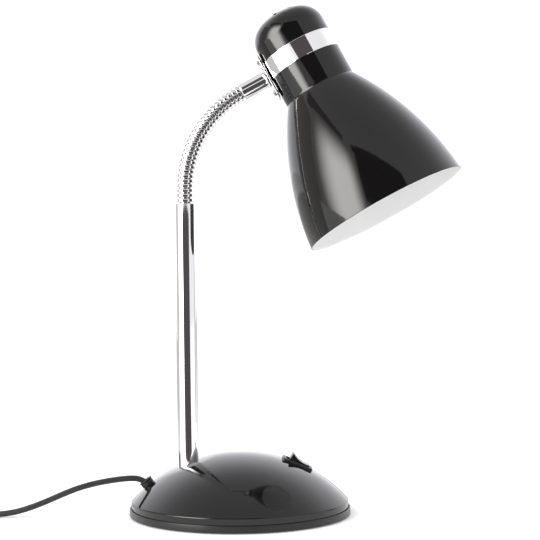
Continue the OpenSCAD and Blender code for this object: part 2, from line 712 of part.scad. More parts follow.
// Two blade terminals below the switch
module switch_terminals() color("gold") at_switch() for (x = [-5, 5])
    translate([x - 0.4, -2.4, -bezel_t - switch_deep - 5]) cube([0.8, 4.8, 5]);

// Rocker, tilted to the side at rest
module switch_rocker() color([0.3, 0.1, 0.1]) at_switch() translate([0, 0, -pivot_deep])
    rotate([0, rocker_tilt, 0]) {
        rotate([90, 0, 0]) translate([0, 0, -rocker_w / 2]) linear_extrude(rocker_w) difference() {
            polygon([[-rocker_half, rocker_rise], [-rocker_half + 0.6, -1.2],
                [-2.2, -3.4], [2.2, -3.4], [rocker_half - 0.6, -1.2], [rocker_half, rocker_rise]]);
            translate([0, rocker_rise + dish_up]) circle(norm([dish_up, rocker_half - 0.5]));
        }
        rotate([90, 0, 0]) cylinder(r = pivot_d / 2, h = slot_w + 1.4, center = true);
    }

// Cord bush: a grooved ring in the cover's hole, with a flared mouth
module cord_bush() color([0.08, 0.08, 0.08]) at_bush() rotate_extrude() polygon([
    [cord_d / 2 + 0.1, crown_r - bush_in], [bush_neck_r + 1.3, crown_r - bush_in],
    [bush_neck_r + 1.3, crown_r - cover_wall - 0.7], [bush_neck_r, crown_r - cover_wall - 0.2],
    [bush_neck_r, crown_r + 0.3], [bush_d / 2 - 0.3, crown_r + 0.3],
    [bush_d / 2 - 0.3, crown_r + 1.3], [bush_neck_r + 0.6, crown_r + 1.7],
    [bush_neck_r + 0.6, crown_r + bush_out - 1.4], [bush_d / 2, crown_r + bush_out - 1.2],
    [bush_d / 2, crown_r + bush_out], [bush_mouth, crown_r + bush_out],
    [cord_d / 2 + 0.1, crown_r - lead_in]]);

// Cord inside the base, from the bush's throat through its clip
module cord_lead() color([0.05, 0.05, 0.05]) at_bush()
    translate([0, 0, crown_r - lead_in - lead_l]) cylinder(r = cord_d / 2, h = lead_l);

// Clip around the cord behind the bush, which takes the cord's pull
module cord_clip() color("darkgray") at_bush() rotate_extrude()
    translate([cord_d / 2 + 0.02, crown_r - bush_in - 2.6]) square([2.6, 2.5]);

// Free cord from the bush to the coil
module cord_free() color([0.15, 0.15, 0.15])
    tube(concat([cord_start], cord_route), bush_dir, [-1, 0, 0], cord_d / 2, 8);

// Put-away cord, wound in four layers
module cord_coil() color([0.2, 0.2, 0.2])
    tube(coil_pts, [-1, 0, 0], [-1, 0, 0], cord_d / 2, 6);

// Free cord from the coil to the plug
module cord_tail() color([0.15, 0.15, 0.15])
    tube(tail_route, [-1, 0, 0], [0, 1, 0], cord_d / 2, 8);

// Flat two-pin plug with a ribbed bend relief
module plug_body() color([0.1, 0.1, 0.1]) translate(plug_at) {
    rotate([-90, 0, 0]) rotate_extrude() difference() {
        polygon([[0, 0], [3.2, 0], [4.6, relief_l + 1], [0, relief_l + 1]]);
        for (i = [1:5]) translate([3, i * 3.6 - 1]) square([2, 1.2]);
    }
    intersection() {
        translate([0, relief_l, -plug_t / 2]) linear_extrude(plug_t) union() {
            polygon([[-5.5, 0], [5.5, 0], [7.5, plug_l * 0.3], [9, plug_l * 0.55],
                [plug_w / 2, plug_l - 9], [plug_w / 2, plug_l], [-plug_w / 2, plug_l],
                [-plug_w / 2, plug_l - 9], [-9, plug_l * 0.55], [-7.5, plug_l * 0.3]]);
        }
        translate([-plug_w, relief_l, 0]) rotate([90, 0, 90]) linear_extrude(2 * plug_w)
            polygon([[0, -4.8], [plug_l * 0.45, -plug_t / 2], [plug_l, -plug_t / 2],
                [plug_l, plug_t / 2], [plug_l * 0.45, plug_t / 2], [0, 4.8]]);
    }
}

// Pins of the plug
module plug_pins() color("gold") for (s = [-1, 1])
    translate(plug_at + [s * pin_gap / 2, relief_l + plug_l, 0]) rotate([-90, 0, 0])
    rotate_extrude() polygon([[0, 0], [pin_d / 2, 0], [pin_d / 2, pin_l - 1],
        [pin_d / 2 - 0.8, pin_l], [0, pin_l]]);

base_pad();
base_tray();
ballast();
cover_screws();
base_cover();
pole_socket();
socket_screws();
pole();
neck_link_0();
neck_link_1();
neck_link_2();
neck_link_3();
neck_link_4();
neck_link_5();
neck_link_6();
neck_link_7();
neck_link_8();
arm_sleeve();
bracket_plate();
bracket_screw_low();
bracket_screw_high();
head_band();
shade();
shade_cap();
holder_bracket();
holder_nipple();
lamp_holder();
holder_thread();
holder_contact();
switch_housing();
switch_terminals();
switch_rocker();
cord_bush();
cord_lead();
cord_clip();
cord_free();
cord_coil();
cord_tail();
plug_body();
plug_pins();
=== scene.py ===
# %% [markdown]
# # A desk lamp with a bending neck
# This lesson dresses a desk lamp whose exact parts come from a CAD model: a heavy round base
# under a glossy dome, a bright tube, a flexible neck of jointed links and a flared shade. The
# CAD parts come in as a fixed frame that never moves. Everything made here is laid over that
# frame in the same place, in metres, and is tied to the body that it moves with.

# %% The frame
from math import asin, atan2, cos, degrees, hypot, pi, radians, sin, sqrt

import bmesh
import bpy
from mathutils import Matrix, Vector
from mathutils.bvhtree import BVHTree
from mathutils.interpolate import poly_3d_calc


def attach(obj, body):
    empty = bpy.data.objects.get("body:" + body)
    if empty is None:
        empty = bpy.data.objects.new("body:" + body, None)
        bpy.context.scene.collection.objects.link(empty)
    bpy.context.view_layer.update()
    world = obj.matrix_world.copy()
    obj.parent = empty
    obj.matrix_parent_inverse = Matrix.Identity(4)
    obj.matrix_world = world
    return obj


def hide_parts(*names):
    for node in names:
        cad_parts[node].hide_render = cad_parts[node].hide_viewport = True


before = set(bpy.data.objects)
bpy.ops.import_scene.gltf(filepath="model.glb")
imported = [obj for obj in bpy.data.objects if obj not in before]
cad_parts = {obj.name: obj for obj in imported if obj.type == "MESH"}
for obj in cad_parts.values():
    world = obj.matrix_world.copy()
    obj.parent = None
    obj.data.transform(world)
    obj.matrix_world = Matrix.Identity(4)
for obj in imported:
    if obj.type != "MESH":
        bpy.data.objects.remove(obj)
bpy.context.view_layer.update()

MM = 0.001


def added(name, data):
    """Makes an object of some data and links it to the scene."""
    thing = bpy.data.objects.new(name, data)
    bpy.context.scene.collection.objects.link(thing)
    return thing


def move(x, y, z):
    """A matrix that moves by mm."""
    return Matrix.Translation((x, y, z))


def spin(angle, axis):
    """A matrix that turns by degrees about an axis."""
    return Matrix.Rotation(radians(angle), 4, axis)


# %% [markdown]
# ## The camera
# The lamp is seen from the front, a little from above, through a long lens, so its lines stay
# nearly parallel. The camera could be aimed by a constraint, but three axes written out keep
# its small tilt and roll exact. The shift only centres the frame.

# %% Camera
eye_data = bpy.data.cameras.new("front_view")
eye_data.lens, eye_data.sensor_width = 116.67, 36
eye_data.shift_x, eye_data.shift_y = 0.0519, 0.0211
eye = added("front_view", eye_data)
eye_right = Vector((0.99994, -0.00048, -0.01082))
eye_up = Vector((0.01083, 0.04388, 0.99898))
eye_ahead = Vector((0, 0.99904, -0.04388))
turned = Matrix((eye_right, eye_up, -eye_ahead)).transposed().to_4x4()
eye.matrix_world = Matrix.Translation(Vector((2.95, -1183.67, 210.54)) * MM) @ turned
bpy.context.scene.camera = eye
bpy.context.scene.view_settings.view_transform = "Standard"

# %% [markdown]
# ## The cord
# The real cord is a slim round two-core lead. It comes straight out of a bush in the dome,
# sinks to the table and runs off to the side, where its spare length is wound into a small
# coil of four layers. A cord can be a swept mesh, but a curve with a round bevel is lighter
# and keeps one clean centreline. Its points are the same as those of the CAD solids.

# %% Sizes of the dome that the cord comes out of
PAD_PROUD, BASE_R, TRAY_FLOOR, TRAY_LIP = 0.6, 75.0, 3.4, 0.8
COVER_TOP, COVER_WALL, COVER_GAP = 41.5, 2.2, 0.5
SHOULDER_R, SHOULDER_H = 5.0, 7.34
COVER_R = BASE_R - TRAY_LIP - COVER_GAP
shoulder_x = COVER_R - SHOULDER_R
drop = COVER_TOP - SHOULDER_H
CROWN_R = (shoulder_x ** 2 + drop ** 2 - SHOULDER_R ** 2) / (2 * (drop - SHOULDER_R))
CROWN_Z = PAD_PROUD + COVER_TOP - CROWN_R
print("crown radius in mm:", round(CROWN_R, 2))

# %% Cord route
CORD_D, LEAD_IN, BUSH_TURN, BUSH_OUT = 4.0, 2.5, 38, 4.2
bush_axis = Vector((-sin(radians(BUSH_TURN)), 0, cos(radians(BUSH_TURN))))
crown_centre = Vector((0, 0, CROWN_Z))
cord_start = crown_centre + (CROWN_R - LEAD_IN) * bush_axis
free_run = [
    (-63, 0, 21.7), (-66, 0, 23.7), (-69.5, 0, 25), (-73.5, 0, 25.3), (-79, 0, 25),
    (-86, 0, 24.2), (-93, -0.2, 23.1), (-100, -0.4, 21.7), (-107, -0.8, 19.9),
    (-114, -1.2, 17.6), (-121, -1.8, 14.9), (-128, -2.3, 12), (-135, -2.8, 9.2),
    (-142, -3.2, 6.7), (-149, -3.4, 4.6), (-156, -3.3, 3.1), (-163, -3, 2.3),
    (-170, -2.5, 2), (-178, -1.7, 2), (-186, -0.8, 2), (-193, -0.2, 2), (-200, 0, 2),
    (-208, 0, 2)]
tail_run = [
    (-216, 0, 15.5), (-220, 0, 15.5), (-226.5, 1.3, 15.4), (-233, 4.2, 14.6),
    (-239.3, 8.9, 13.1), (-244.5, 15, 11.2), (-248, 22, 9.3), (-249.6, 29.4, 7.7),
    (-250, 37, 6.85), (-250, 44, 6.85)]
COIL_X, COIL_Y, COIL_OUT, COIL_STEP, COIL_RISE = -212, 29, 29, 4.5, 4.5
LAYERS, LOOPS_PER_LAYER, POINTS_PER_LOOP = 4, 2.5, 24
layer_turn = LOOPS_PER_LAYER * 360


def coil_point(a):
    """Where the coil's centreline is after a turn of a degrees."""
    u = a / layer_turn
    r = COIL_OUT - COIL_STEP * LOOPS_PER_LAYER * abs(u - 2 * ((u + 1) // 2))
    climbed = sum(max(0, min(1, (a - k * layer_turn + 90) / 180)) for k in (1, 2, 3))
    return (COIL_X - r * sin(radians(a)), COIL_Y - r * cos(radians(a)),
            CORD_D / 2 + COIL_RISE * climbed)


coil_steps = int(LAYERS * LOOPS_PER_LAYER * POINTS_PER_LOOP)
coil_run = [coil_point(i * 360 / POINTS_PER_LOOP) for i in range(coil_steps + 1)]
cord_points = [Vector(p) * MM for p in [cord_start, *free_run, *coil_run, *tail_run]]

# %% Cord curve
cord_data = bpy.data.curves.new("mains_cord", "CURVE")
cord_data.dimensions = "3D"
cord_data.resolution_u = 4
cord_data.bevel_depth = CORD_D / 2 * MM
cord_data.bevel_resolution = 6
cord_data.use_fill_caps = True
line = cord_data.splines.new("BEZIER")
line.bezier_points.add(len(cord_points) - 1)
for knot, place in zip(line.bezier_points, cord_points):
    knot.co = place
    knot.handle_left_type = knot.handle_right_type = "AUTO"
cord = added("mains_cord", cord_data)
bpy.context.view_layer.update()

# %% [markdown]
# ## Shapes that are turned
# Most parts of this lamp are turned or spun: the dome, tray, tube, shade, cap and band. Blender
# has a Screw modifier for that. A small function that places the rings itself is as short,
# closes the poles on the axis, and also lays down a map of the way round and the way along,
# which no finish here reads yet.

# %% Helpers for turned shapes
def arc(cx, cz, r, start, end, steps):
    """Points on a circle in the (radius, height) plane, from one angle to another."""
    return [(cx + r * cos(radians(start + (end - start) * i / steps)),
             cz + r * sin(radians(start + (end - start) * i / steps)))
            for i in range(steps + 1)]


def finish_mesh(bm, name, sharp=30):
    """Turns a bmesh into a linked object with smooth faces and crisp edges."""
    bmesh.ops.remove_doubles(bm, verts=bm.verts, dist=1e-7)
    bmesh.ops.recalc_face_normals(bm, faces=bm.faces)
    mesh = bpy.data.meshes.new(name)
    bm.to_mesh(mesh)
    bm.free()
    for face in mesh.polygons:
        face.use_smooth = True
    mesh.set_sharp_from_angle(angle=radians(sharp))
    return added(name, mesh)


def skin_rows(bm, rows):
    """Faces between neighbouring rows of corners, closed round each row."""
    for low, high in zip(rows, rows[1:]):
        for k in range(len(low)):
            q = (k + 1) % len(low)
            bm.faces.new((low[k], low[q], high[q], high[k]))


def rod(name, r, low, high, place, turns, way=0):
    """A plain turned rod or tube between two heights."""
    return lathe(name, [(way, low), (r, low), (r, high), (way, high)], place, turns=turns)


def lathe(name, outline, place=None, turns=160, finishes=None, sharp=30):
    """Spins a closed outline of (radius, height) points in mm round the local Z axis.

    finishes gives each stretch of the outline its material slot number.
    """
    place = place or Matrix.Identity(4)
    bm = bmesh.new()
    sheet_map = bm.loops.layers.uv.new("turned")
    rings, run = [], [0.0]
    for i, (r, z) in enumerate(outline):
        if i:
            run.append(run[-1] + hypot(r - outline[i - 1][0], z - outline[i - 1][1]))
        if r < 1e-6:
            rings.append([bm.verts.new(place @ Vector((0, 0, z)) * MM)])
        else:
            rings.append([bm.verts.new(place @ Vector(
                (r * cos(2 * pi * k / turns), r * sin(2 * pi * k / turns), z)) * MM)
                for k in range(turns)])
    run.append(run[-1] + hypot(outline[0][0] - outline[-1][0], outline[0][1] - outline[-1][1]))
    for i, low in enumerate(rings):
        high = rings[(i + 1) % len(rings)]
        if len(low) == len(high) == 1:
            continue
        for k in range(turns):
            q = (k + 1) % turns
            corners = [(low[k % len(low)], k, i), (low[q % len(low)], k + 1, i),
                       (high[q % len(high)], k + 1, i + 1), (high[k % len(high)], k, i + 1)]
            if len(low) == 1:
                corners.pop(1)
            if len(high) == 1:
                corners.pop(2)
            face = bm.faces.new([c[0] for c in corners])
            face.material_index = finishes[i] if finishes else 0
            for loop, c in zip(face.loops, corners):
                loop[sheet_map].uv = (c[1] / turns, run[c[2]] * MM * 10)
    return finish_mesh(bm, name, sharp)


# %% [markdown]
# ## The plug
# A flat two-pin plug ends the cord: a soft-edged moulded body, a ribbed bend relief, and pins
# with insulating collars. The body could be a box with bevels. A loft through a few rounded
# sections gives its slim neck and wide end in one closed skin.

# %% Plug body
PLUG_X, PLUG_Y, PLUG_Z = -250, 44, 6.85
RELIEF_L, PLUG_L, SIDES = 22, 35, 64


def rounded(w, h, n):
    """Points (x, z) round a section of half width w, half height h and squareness n."""
    for k in range(SIDES):
        c, s = cos(2 * pi * k / SIDES), sin(2 * pi * k / SIDES)
        yield (w * (1 if c >= 0 else -1) * abs(c) ** (2 / n),
               h * (1 if s >= 0 else -1) * abs(s) ** (2 / n))


at_plug = move(PLUG_X, PLUG_Y, PLUG_Z)
plug_end = RELIEF_L + PLUG_L
bm = bmesh.new()
sections = [[bm.verts.new(at_plug @ Vector((x, RELIEF_L + y, z)) * MM) for x, z in rounded(w, h, n)]
            for y, w, h, n in (
                (-1, 3.6, 3.4, 2.2), (0, 5.2, 4.6, 2.6), (0.6, 5.6, 4.9, 3), (5, 6.6, 5.8, 3.6),
                (10, 7.4, 6.5, 4), (16, 8.3, 6.8, 4.5), (20, 9.3, 6.85, 5), (23, 10.8, 6.85, 5.5),
                (26, 12.4, 6.85, 6), (28, 13, 6.85, 6.5), (34.1, 13, 6.85, 7),
                (34.7, 12.8, 6.6, 7), (PLUG_L, 12.3, 6.1, 7))]
skin_rows(bm, sections)
bm.faces.new(sections[0])
bm.faces.new(sections[-1])
plug_case = finish_mesh(bm, "plug_case", 40)

# %% [markdown]
# ## Rings along a path
# The neck is a row of bright rings on a bent axis, and the plug's relief is a row of ribs. Such
# a row could be copied by hand or with an Array modifier. A Geometry Nodes tree fits better:
# one ring is a rounded profile run round a circle, set on points of a path, turned to the path
# and realised, so the same tree serves both rows through its inputs. Every tree of this lesson
# is written as a table of named nodes and a list of links.

# %% Helpers for node trees
def new_tree(name, kind, inputs, output, table, links):
    """A node group. An input has its default, or the kind of a socket without one."""
    t = bpy.data.node_groups.new(name, kind + "NodeTree")
    for key, value in inputs.items():
        plain = value if isinstance(value, str) else type(value).__name__.title()
        made = t.interface.new_socket(key, in_out="INPUT", socket_type="NodeSocket" + plain)
        if plain != value:
            made.default_value = value
    t.interface.new_socket(output[0], in_out="OUTPUT", socket_type="NodeSocket" + output[1])
    wire(t, nodes_in(t, {"in": "NodeGroupInput", "out": "NodeGroupOutput", **table}), links)
    return t


def put(tree, kind, **settings):
    """Adds a node and sets its properties, or its inputs when a name starts with in_.

    A kind without the word Node is one of the tree's own: a shader or a geometry node.
    """
    own = tree.bl_idname.replace("NodeTree", "Node")
    node = tree.nodes.new(kind if "Node" in kind else own + kind)
    for key, value in settings.items():
        if key.startswith("in_"):
            slot = key[3:].replace("_", " ")
            node.inputs[int(slot) if slot.isdigit() else slot].default_value = value
        else:
            setattr(node, key, value)
    return node


def maths(operation, **more):
    """The table entry of a Math node."""
    return "ShaderNodeMath", dict(operation=operation, **more)


def ramp(low, high, kind="SMOOTHSTEP", **more):
    """The table entry of a Map Range node from low to high."""
    return "ShaderNodeMapRange", dict(interpolation_type=kind, in_From_Min=low, in_From_Max=high,
                                      **more)


def nodes_in(tree, table):
    """Adds a table of nodes to a tree: each is a kind, or a kind with its settings."""
    return {key: put(tree, kind) if isinstance(kind, str) else put(tree, kind[0], **kind[1])
            for key, kind in table.items()}


def wire(tree, nodes, links):
    """Links named nodes. Each link reads node.output > node.input."""
    for link in links.split(";"):
        (a, source), (b, target) = (end.strip().split(".") for end in link.split(">"))
        tree.links.new(nodes[a].outputs[int(source) if source.isdigit() else source],
                       nodes[b].inputs[int(target) if target.isdigit() else target])


# %% Geometry Nodes tree for rings
REAL_ROW = {"index": "InputIndex", "set": "InstanceOnPoints", "real": "RealizeInstances",
            "paint": "SetMaterial"}
REAL_ROW_LINKS = """;
    set.Instances > real.Geometry; real.Geometry > paint.Geometry;
    in.Finish > paint.Material; paint.Geometry > out.Geometry"""
rings_tree = new_tree("rings_along_a_path", "Geometry", {
    "Geometry": "Geometry", "Rings": 3, "Ring Radius": 0.0045, "Rib Width": 0.002,
    "Rib Depth": 0.002, "Rounding": 0.0005, "End Size": 1.0, "Unevenness": 0.0, "Seed": 4,
    "Finish": "Material"}, ("Geometry", "Geometry"), {
    "path": "MeshToCurve", "points": ("CurveToPoints", {"mode": "COUNT"}),
    "around": ("CurvePrimitiveCircle", {"in_Resolution": 96}),
    "profile": "CurvePrimitiveQuadrilateral",
    "round": ("FilletCurve", {"mode": "POLY", "in_Count": 5}),
    "skin": "CurveToMesh", "smooth": "SetShadeSmooth",
    "aim": ("FunctionNodeAlignRotationToVector", {"axis": "Z"}),
    "less": maths("SUBTRACT", in_1=1), "share": maths("DIVIDE"),
    "grow": ramp(0, 1, "LINEAR", in_To_Min=1),
    "low": maths("SUBTRACT", in_0=1), "high": maths("ADD", in_0=1),
    "chance": "FunctionNodeRandomValue", "size": maths("MULTIPLY"), **REAL_ROW}, """
    in.Geometry > path.Mesh; path.Curve > points.Curve; in.Rings > points.Count;
    in.Ring Radius > around.Radius; in.Rib Depth > profile.Width;
    in.Rib Width > profile.Height; profile.Curve > round.Curve; in.Rounding > round.Radius;
    around.Curve > skin.Curve; round.Curve > skin.Profile Curve; skin.Mesh > smooth.Geometry;
    points.Tangent > aim.Vector; in.Rings > less.0; index.0 > share.0; less.0 > share.1;
    share.0 > grow.Value; in.End Size > grow.To Max; in.Unevenness > low.1;
    in.Unevenness > high.1; low.0 > chance.2; high.0 > chance.3; in.Seed > chance.Seed;
    grow.Result > size.0; chance.1 > size.1; points.Points > set.Points;
    smooth.Geometry > set.Instance; aim.Rotation > set.Rotation;
    size.0 > set.Scale""" + REAL_ROW_LINKS)

# %% Running a tree
def applied(thing):
    """The plain mesh that a thing's modifiers make of it. The modifiers come off again."""
    thing.update_tag()
    seen = thing.evaluated_get(bpy.context.evaluated_depsgraph_get())
    mesh = bpy.data.meshes.new_from_object(seen)
    thing.modifiers.clear()
    return mesh


def run_tree(thing, tree, values):
    """The plain mesh that a tree makes of a thing."""
    work = thing.modifiers.new("row", "NODES")
    work.node_group = tree
    known = {i.name: i.identifier for i in tree.interface.items_tree
             if i.item_type == "SOCKET" and i.in_out == "INPUT"}
    for key, value in values.items():
        work[known[key.replace("_", " ")]] = value
    return applied(thing)


def grow(name, tree, points, **values):
    """Runs a tree along a row of points in mm and keeps the result as a plain mesh."""
    host_mesh = bpy.data.meshes.new(name + "_host")
    host_mesh.from_pydata([Vector(p) * MM for p in points],
                          [(i, i + 1) for i in range(len(points) - 1)], [])
    host = added(name + "_host", host_mesh)
    mesh = run_tree(host, tree, values)
    mesh.name = name
    bpy.data.objects.remove(host)
    return added(name, mesh)


def grow_from(thing, tree, place=None, **values):
    """Runs a tree on a thing's own mesh, then moves the result to its place."""
    mesh = run_tree(thing, tree, values)
    if place:
        mesh.transform(Matrix.Translation(place.translation * MM) @ place.to_3x3().to_4x4())
    thing.data = mesh


# %% [markdown]
# ## Effects that several finishes share
# A real surface is never one flat value. Lacquer has a faint waviness, chrome has hairline
# wiping marks, moulded plastic a fine grain, and a little dust settles on what faces up. Each
# effect is built once as a node group and set to its own strength in each material.

# %% Maker of effects
def effect(name, inputs, output, table, links):
    """A shader node group with one output. It works in Object coordinates."""
    return new_tree(name, "Shader", inputs, (output, "Float"), {"place": "TexCoord", **table},
                    links)


def noise(**more):
    """The table entry of a Noise Texture node."""
    return "TexNoise", more


# %% Effect: waviness of a lacquered or moulded skin
waviness = effect("skin_waviness", {"Size": 60.0}, "Height", {
    "broad": noise(in_Detail=1.0, in_Roughness=0.4), "fine": noise(in_Detail=2.0),
    "finer": maths("MULTIPLY", in_1=9.0), "mixed": maths("MULTIPLY_ADD", in_1=0.12)}, """
    place.Object > broad.Vector; place.Object > fine.Vector; in.Size > broad.Scale;
    in.Size > finer.0; finer.0 > fine.Scale; fine.Fac > mixed.0; broad.Fac > mixed.2;
    mixed.0 > out.Height""")

# %% Effect: patchy roughness with hairline marks
patchy = effect("patchy_gloss", {"Low": 0.05, "High": 0.12, "Size": 25.0, "Hairlines": 0.3},
                "Roughness", {
    "cloud": noise(in_Detail=4.0, in_Roughness=0.6),
    "stretch": ("Mapping", {"in_Scale": (900.0, 900.0, 25.0),
                                      "in_Rotation": (0.5, 0.3, 0.0)}),
    "hairs": noise(in_Detail=2.0, in_Scale=1.0), "thin": ramp(0.62, 0.72, "LINEAR"),
    "weigh": maths("MULTIPLY"), "both": maths("ADD", use_clamp=True),
    "spread": ramp(0, 1, "LINEAR")}, """
    place.Object > cloud.Vector; place.Object > stretch.Vector;
    stretch.Vector > hairs.Vector; in.Size > cloud.Scale; hairs.Fac > thin.Value;
    thin.Result > weigh.0; in.Hairlines > weigh.1; weigh.0 > both.0; cloud.Fac > both.1;
    both.0 > spread.Value; in.Low > spread.To Min; in.High > spread.To Max;
    spread.Result > out.Roughness""")

# %% Effect: dust on what faces up
dust = effect("settled_dust", {"Amount": 0.03, "Size": 700.0}, "Mask", {
    "facing": "NewGeometry", "axes": "SeparateXYZ",
    "up": ramp(0.3, 1.0, "LINEAR"), "specks": noise(in_Detail=3.0, in_Roughness=0.7),
    "only": ramp(0.55, 0.8, "LINEAR"), "lies": maths("MULTIPLY"),
    "much": maths("MULTIPLY", use_clamp=True)}, """
    facing.Normal > axes.Vector; axes.Z > up.Value; place.Object > specks.Vector;
    in.Size > specks.Scale; specks.Fac > only.Value; only.Result > lies.0;
    up.Result > lies.1; lies.0 > much.0; in.Amount > much.1; much.0 > out.Mask""")

# %% Effect: worn edges
wear = effect("worn_edges", {"Start": 0.52, "End": 0.6, "Size": 300.0}, "Mask", {
    "shape": "NewGeometry", "rim": "ShaderNodeMapRange", "patch": noise(in_Detail=3.0),
    "bite": ramp(0.4, 0.6, "LINEAR"), "worn": maths("MULTIPLY", use_clamp=True)}, """
    shape.Pointiness > rim.Value; in.Start > rim.From Min; in.End > rim.From Max;
    place.Object > patch.Vector; in.Size > patch.Scale; patch.Fac > bite.Value;
    rim.Result > worn.0; bite.Result > worn.1; worn.0 > out.Mask""")

# %% [markdown]
# ## Finishes
# The lamp has few finishes: gloss and satin black lacquer, bright chrome, white enamel inside
# the shade, and black plastics. One function wires the shared effects to a Principled shader,
# and each finish sets its own plain values on the shader's sockets.

# %% Finish maker
DUST_COLOUR = (0.62, 0.6, 0.57)


def blended(tree, first, second, mask):
    """Mixes two fixed colours or linked outputs by a mask, and gives the mixed output."""
    mix = put(tree, "Mix", data_type="RGBA")
    for slot, value in ((6, first), (7, second)):
        if isinstance(value, tuple):
            mix.inputs[slot].default_value = (*value, 1)
        else:
            tree.links.new(value, mix.inputs[slot])
    tree.links.new(mask, mix.inputs[0])
    return mix.outputs[2]


def make_finish(name, colour, gloss, metal=0.0, ior=1.5, grain=None, dusty=None, worn_to=None,
                tint=None):
    """A Principled material from the shared effects.

    gloss is (low, high, patch size, hairlines) of the roughness, grain (size, distance),
    dusty (amount, speck size), worn_to (colour, start, end) and tint (colour, size).
    """
    m = bpy.data.materials.new(name)
    m.use_nodes = True
    m.diffuse_color = (*colour, 1)
    t = m.node_tree
    skin = t.nodes["Principled BSDF"]
    for key, value in (("Metallic", metal), ("IOR", ior), ("Base Color", (*colour, 1))):
        skin.inputs[key].default_value = value
    low, high, patches, hairlines = gloss
    n = {"skin": skin, "rough": put(t, "Group", node_tree=patchy, in_Low=low,
                                    in_High=high, in_Size=patches, in_Hairlines=hairlines)}
    wire(t, n, "rough.Roughness > skin.Roughness")
    source = colour
    if tint:
        n["spot"] = put(t, "TexCoord")
        n["drift"] = put(t, "TexNoise", in_Scale=tint[1], in_Detail=3.0)
        wire(t, n, "spot.Object > drift.Vector")
        source = blended(t, source, tint[0], n["drift"].outputs["Fac"])
    if worn_to:
        edge = put(t, "Group", node_tree=wear, in_Start=worn_to[1], in_End=worn_to[2])
        source = blended(t, source, worn_to[0], edge.outputs["Mask"])
    if dusty:
        lint = put(t, "Group", node_tree=dust, in_Amount=dusty[0], in_Size=dusty[1])
        source = blended(t, source, DUST_COLOUR, lint.outputs["Mask"])
    if source is not colour:
        t.links.new(source, skin.inputs["Base Color"])
    if grain:
        n["relief"] = put(t, "Group", node_tree=waviness, in_Size=grain[0])
        n["bump"] = put(t, "Bump", in_Strength=1.0, in_Distance=grain[1])
        wire(t, n, "relief.Height > bump.Height; bump.Normal > skin.Normal")
    return m


# %% The finishes
gloss_black = make_finish(
    "gloss_black_lacquer", (0.0042, 0.0038, 0.004), (0.045, 0.085, 40, 0.12),
    grain=(120, 0.000012), dusty=(0.05, 900))
satin_black = make_finish(
    "satin_black_tray", (0.0085, 0.0078, 0.0075), (0.26, 0.36, 60, 0.1), ior=1.47,
    grain=(2500, 0.00001), dusty=(0.06, 900))
white_enamel = make_finish(
    "white_enamel", (0.93, 0.93, 0.932), (0.3, 0.42, 50, 0.05),
    grain=(160, 0.00002), tint=((0.9, 0.9, 0.907), 30))
chrome = make_finish(
    "bright_chrome", (0.93, 0.93, 0.935), (0.02, 0.06, 45, 0.35), metal=1.0,
    grain=(90, 0.000004), tint=((0.9, 0.9, 0.91), 18))
neck_chrome = make_finish(
    "neck_chrome", (0.9, 0.9, 0.905), (0.04, 0.1, 300, 0.3), metal=1.0,
    tint=((0.8, 0.8, 0.81), 220))
core_steel = make_finish(
    "neck_core_steel", (0.66, 0.65, 0.64), (0.14, 0.26, 300, 0.2), metal=1.0,
    tint=((0.5, 0.49, 0.48), 400))
zinc_steel = make_finish(
    "zinc_plated_steel", (0.58, 0.59, 0.6), (0.22, 0.42, 260, 0.2), metal=1.0,
    grain=(700, 0.00001), tint=((0.44, 0.45, 0.46), 320),
    worn_to=((0.75, 0.75, 0.74), 0.52, 0.6))
ballast_steel = make_finish(
    "ballast_steel", (0.2, 0.195, 0.19), (0.42, 0.62, 90, 0.1), metal=1.0,
    grain=(420, 0.00004), tint=((0.11, 0.1, 0.095), 70),
    worn_to=((0.4, 0.39, 0.38), 0.52, 0.6))
nickel_brass = make_finish(
    "nickel_plated_brass", (0.74, 0.71, 0.65), (0.14, 0.26, 200, 0.25), metal=1.0,
    tint=((0.66, 0.62, 0.55), 240), worn_to=((0.72, 0.52, 0.25), 0.54, 0.66))
brass = make_finish(
    "brass", (0.72, 0.5, 0.22), (0.18, 0.34, 180, 0.2), metal=1.0,
    tint=((0.6, 0.4, 0.16), 150))
holder_plastic = make_finish(
    "heat_proof_moulding", (0.74, 0.72, 0.66), (0.3, 0.46, 120, 0.05), ior=1.52,
    grain=(900, 0.000012), tint=((0.7, 0.675, 0.61), 60))
black_plastic = make_finish(
    "black_moulding", (0.0085, 0.0082, 0.0085), (0.3, 0.42, 260, 0.1),
    grain=(2200, 0.00002), dusty=(0.05, 1200))
rocker_plastic = make_finish(
    "polished_rocker", (0.006, 0.0058, 0.006), (0.12, 0.2, 300, 0.25),
    grain=(900, 0.000004), dusty=(0.04, 1200))
cord_skin = make_finish(
    "cord_sheath", (0.011, 0.0105, 0.011), (0.34, 0.5, 150, 0.2),
    grain=(700, 0.00003), dusty=(0.1, 900), tint=((0.016, 0.015, 0.015), 90))
foam = make_finish(
    "foam_pad", (0.02, 0.02, 0.021), (0.82, 0.95, 400, 0.0), ior=1.4,
    grain=(1500, 0.0002), tint=((0.035, 0.034, 0.034), 500))
print("finishes:", len(bpy.data.materials))


# %% [markdown]
# ## Small helpers for placing, dressing and cutting
# A piece is dressed with its materials and tied to its body in one call. Holes are cut with the
# exact Boolean solver. A cut leaves long thin faces around the hole, which would show as dents
# in a mirror-like skin, so the shading of the whole shape is kept on what is left of it.

# %% Dressing and cutting
def dress(thing, body, nodes=(), *finishes):
    """Gives a piece its materials and body, and hides the CAD nodes that it stands for."""
    marks = [face.material_index for face in thing.data.polygons]
    thing.data.materials.clear()
    for finish in finishes:
        thing.data.materials.append(finish)
    for face, mark in zip(thing.data.polygons, marks):
        face.material_index = min(mark, len(finishes) - 1)
    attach(thing, body)
    if nodes:
        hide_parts(*nodes)
    return thing


